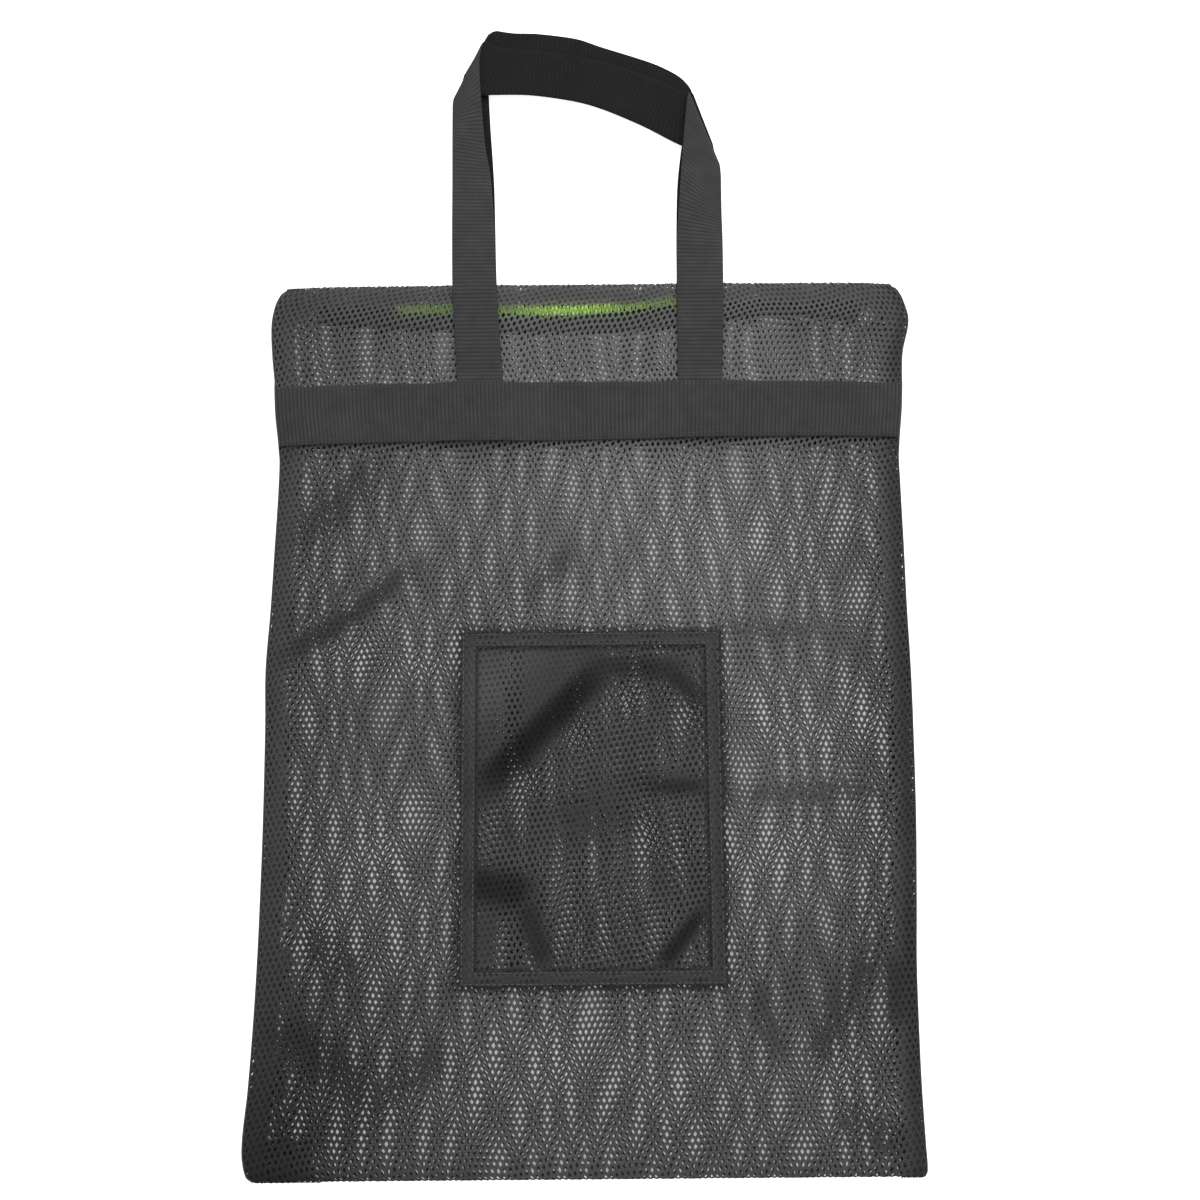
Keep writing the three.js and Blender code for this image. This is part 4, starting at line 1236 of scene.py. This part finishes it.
def coil_nylon():
    """Lime nylon of the zip's coils, with painted light in the middle of the mouth, painted shade where they
    lie deeper, and a painted glow of their own colour.
    """
    paint = Paint("coil_nylon")
    fuzz = paint.noise(900)
    slow = paint.noise(60, 2.0)
    lit = paint.mark("lit")
    lime = paint.blend(slow * 0.7 + fuzz * 0.3, *LIME)
    colour = paint.blend(lit, LIME_SHADED, lime)
    # The coil glows with its own colour though it is no lamp: painted light
    paint.feed(paint.shader.inputs["Emission Color"], colour)
    return paint.finish(colour, fuzz * 0.2 + 0.3, fuzz, 0.2, 0.0001,
                        Specular_IOR_Level=0.5, Emission_Strength=0.24)


def slider_enamel():
    """Dark enamel of the slider, with scuffs that show the metal."""
    paint = Paint("slider_enamel")
    scuff = paint.noise(700, 6.0, 0.7)
    worn = (scuff - 0.56) * 9
    worn = worn.math("MINIMUM", worn.math("MAXIMUM", worn, 0.0), 1.0)
    colour = paint.blend(worn, grey(0.02), BARE_METAL)
    paint.feed(paint.shader.inputs["Metallic"], worn * 0.6 + 0.2)
    return paint.finish(colour, scuff * 0.3 + 0.25, scuff, 0.15, 0.0001)


def sewing_thread(name, dark, light):
    """Black sewing thread, twisted and a little shiny."""
    paint = Paint(name)
    u, v = paint.cloth_place()
    ply = (u * PLY_WAVE + v * PLY_WAVE).wave()
    fuzz = paint.noise(1800)
    colour = paint.blend(fuzz * 0.5 + ply * 0.5, grey(dark), grey(light))
    return paint.finish(colour, fuzz * 0.2 + 0.45, ply, 0.4, 0.0001, Specular_IOR_Level=0.45)


def floor_paint(name, glow):
    """A plain pale floor that glows as a light table does."""
    paint = Paint(name)
    slow = paint.noise(3, 2.0)
    colour = paint.blend(slow, grey(0.84), grey(0.88))
    paint.feed(paint.shader.inputs["Emission Color"], WHITE)
    return paint.finish(colour, slow * 0.1 + 0.8, Specular_IOR_Level=0.1, Emission_Strength=glow)


YARN = net_yarn()
WEBBING_YARN = webbing_yarn()
TAPE_YARN = tape_yarn()
NYLON = coil_nylon()
ENAMEL = slider_enamel()
SEWING = sewing_thread("sewing_thread", 0.018, 0.05)
POCKET_SEWING = sewing_thread("pocket_thread", 0.05, 0.12)

# The nets. STRAND_SHARE is the part of a net that is strand, with a tenth more because the strands slope.
STRAND_SHARE = (1 - HOLE_SHARE**2) * 1.1
NET_WIDTH = 2 * (FLAT_HALF + SEAM_ALLOWANCE)
TOP = FLAT_LENGTH + HEM_DEPTH
BACK_TOP = FLAT_LENGTH + BACK_HEM_DEPTH
for name, low, high, under, node in (
    ("net_front_lower", 0, 200, ["net_back_lower"], "mesh_front"),
    ("net_front_middle", 200, 400, ["net_back_middle"], "mesh_front"),
    ("net_front_upper", 400, TOP, ["net_back_upper"], "mesh_front"),
    ("net_back_lower", -200, 0, ["floor"], "mesh_back"),
    ("net_back_middle", -400, -200, ["floor"], "mesh_back"),
    ("net_back_upper", -BACK_TOP, -400, ["band_back_webbing"], "mesh_back"),
):
    shape = body_net(low, high)
    u, v = shape[2].T
    made = piece(name, shape, YARN, "mesh", node, shade=body_shade(u, v), lit=zip_glow(u, v))
    size = (NET_WIDTH * MM, (high - low) * MM)
    STRAND_SHARE * size[0] * size[1]

shape = pocket_net()
u, v = shape[2].T
pocket = piece("pocket_net", shape, YARN, "mesh", "pocket", shade=pocket_shade(u, v))
pocket_flat = (
    (POCKET_RIGHT - POCKET_LEFT + 4 * POCKET_HEM + POCKET_EASE[0]) * MM,
    (POCKET_HIGH - POCKET_LOW + 4 * POCKET_HEM + POCKET_EASE[1]) * MM,
)
STRAND_SHARE * pocket_flat[0] * pocket_flat[1] * 0.97

# The webbing
for name, shape, node in (
    ("band_front_webbing", band(on_front_band, BAND_NARROWING), "band_front"),
    ("band_back_webbing", band(on_back_band, 0), "band_back"),
    ("handle_front_webbing", handle(FRONT_HANDLE, False), "handle_front"),
    ("handle_back_webbing", handle(BACK_HANDLE, True), "handle_back"),
):
    piece(name, shape[:3], WEBBING_YARN, "webbing", node, inside=shape[3])

# The zip
for name, low, floor_height, node in (
    ("zip_tape_front_woven", front_tape_low, front_tape_floor, "zip_tape_front"),
    ("zip_tape_back_woven", back_tape_low, back_tape_floor, "zip_tape_back"),
):
    piece(name, tape(low, floor_height), TAPE_YARN, "zip_tape", node)
for name, low, floor_height, node in (
    ("zip_coil_front_turns", front_tape_low, front_coil_floor, "zip_coil_front"),
    ("zip_coil_back_turns", back_tape_low, back_coil_floor, "zip_coil_back"),
):
    shape = coil(low, floor_height)
    piece(name, shape, NYLON, "zip_coil", node, lit=coil_lit(shape[0][:, 0]))
piece("zip_slider_shaped", slider_body(), ENAMEL, "slider", "zip_slider")


# The stitching
def band_top(x, y):
    """The front band's upper face, less the little that its stitches sink in."""
    return on_front_band(x, y) + WEBBING / 2 - STITCH_SUNK


def body_rows():
    """Along the zip tape on the front and the hem on the back."""
    x = np.linspace(-ZIP_REACH, ZIP_REACH, 300)
    back_y = np.full_like(x, BODY_LENGTH - HEM_DEPTH + HEM_STITCH_IN)
    return [
        seam(x, front_tape_low(x) + TAPE_STITCH_IN, front_height),
        seam(x, back_y, lambda a, b: back_height(a, b) + THREAD, -1.0),
    ]


def band_rows():
    """Along both edges of the front band, and round the handle ends tucked under it."""
    rows = []
    left, right = BAND_STITCH_ENDS
    for inset, narrowing in ((BAND_STITCH_IN, BAND_NARROWING), (BAND_HIGH - BAND_LOW - BAND_STITCH_IN, 0)):
        x, y = straight((left, BAND_LOW + inset), (right, BAND_LOW + inset))
        rows.append(seam(x, y + narrowing * band_rise(x), band_top))
    side, end = HANDLE_STITCH_IN
    for left, right in HANDLE_ENDS:
        rows += box_rows(left + side, right - side, BAND_LOW + end, BAND_HIGH - end, band_top)
    return rows


def side_rows():
    """The thread that closes each side seam, along its very edge from the bottom fold to the mouth."""
    along = np.linspace(1, FLAT_LENGTH - 1, 500)
    edge = np.full_like(along, FLAT_HALF - SEAM_THREAD_IN)
    return [wire(body_cloth(side * edge, along), SEAM_THREAD) for side in (-1, 1)]


def pocket_rows():
    """Two rows all round the pocket's hems."""
    rows = []
    for inset in POCKET_STITCH_IN:
        left, right = POCKET_LEFT + inset, POCKET_RIGHT - inset
        rows += box_rows(left, right, POCKET_LOW + inset, POCKET_HIGH - inset, pocket_height)
    return rows


for name, rows, thread, slot in (
    ("stitches_body", body_rows(), SEWING, "mesh"),
    ("stitches_sides", side_rows(), SEWING, "mesh"),
    ("stitches_band", band_rows(), SEWING, "webbing"),
    ("stitches_pocket", pocket_rows(), POCKET_SEWING, "mesh"),
):
    piece(name, joined(rows), thread, slot)


# The stage
def floor_piece(name, points, faces, glow):
    """A flat part of the floor, from points in metres."""
    mesh = bpy.data.meshes.new(name)
    mesh.from_pydata(points, [], faces)
    mesh.materials.append(floor_paint(name, glow))
    made = bpy.data.objects.new(name, mesh)
    bpy.context.scene.collection.objects.link(made)


def floor():
    """A wide square that the bag lies on, and the part of it that the body covers, which glows less as a
    painted shadow of the bag.

    That part is a strip between the bag's side edges and a little inside them."""
    far = FLOOR_REACH
    corners = [(-far, -far), (far, -far), (far, far), (-far, far)]
    floor_piece("floor", [(x, y, FLOOR_HEIGHT[0]) for x, y in corners], [(0, 1, 2, 3)], FLOOR_GLOW[0])
    y = np.linspace(FLOOR_INSET, BODY_LENGTH + FLOOR_INSET, 80)
    middle, half = sides(y)
    edges = [stack(middle + side * (half - FLOOR_INSET), y, 0) for side in (-1, 1)]
    points = (np.stack(edges, axis=1).reshape(-1, 3) - ORIGIN) * MM
    points[:, 2] = FLOOR_HEIGHT[1]
    row = 2 * np.arange(len(y) - 1)[:, None]
    # The covered part's lower glow is a painted shadow under the bag
    floor_piece("floor_covered", points.tolist(), (row + np.array([0, 1, 3, 2])).tolist(), FLOOR_GLOW[1])


def soft_light(name, place, aim, size, power):
    """A square soft light that faces a point."""
    lamp = bpy.data.lights.new(name, "AREA")
    lamp.size = size
    lamp.energy = power
    made = bpy.data.objects.new(name, lamp)
    made.location = place
    made.rotation_euler = (Vector(aim) - Vector(place)).to_track_quat("-Z", "Y").to_euler()
    bpy.context.scene.collection.objects.link(made)


def sky(level):
    """Even light from all round."""
    world = bpy.data.worlds.new("studio")
    world.use_nodes = True
    background = world.node_tree.nodes["Background"]
    background.inputs["Color"].default_value = WHITE
    background.inputs["Strength"].default_value = level
    bpy.context.scene.world = world


def camera():
    """The camera over the bag, leaning to its bottom fold and rolled a little, aimed at a point on it."""
    data = bpy.data.cameras.new("camera")
    data.lens = LENS
    data.sensor_width = SENSOR
    tilt = Matrix.Rotation(math.radians(CAMERA_TILT), 4, "X")
    turn = tilt @ Matrix.Rotation(math.radians(CAMERA_ROLL), 4, "Z")
    made = bpy.data.objects.new("camera", data)
    aim = Vector(AIM) * MM
    made.matrix_world = Matrix.Translation(aim + turn @ Vector((0, 0, CAMERA_DISTANCE * MM))) @ turn
    bpy.context.scene.collection.objects.link(made)
    bpy.context.scene.camera = made


floor()
sky(SKY)
soft_light("key", KEY_PLACE, KEY_AIM, KEY_SIZE, KEY_POWER)
camera()
bpy.context.scene.view_settings.view_transform = "Standard"
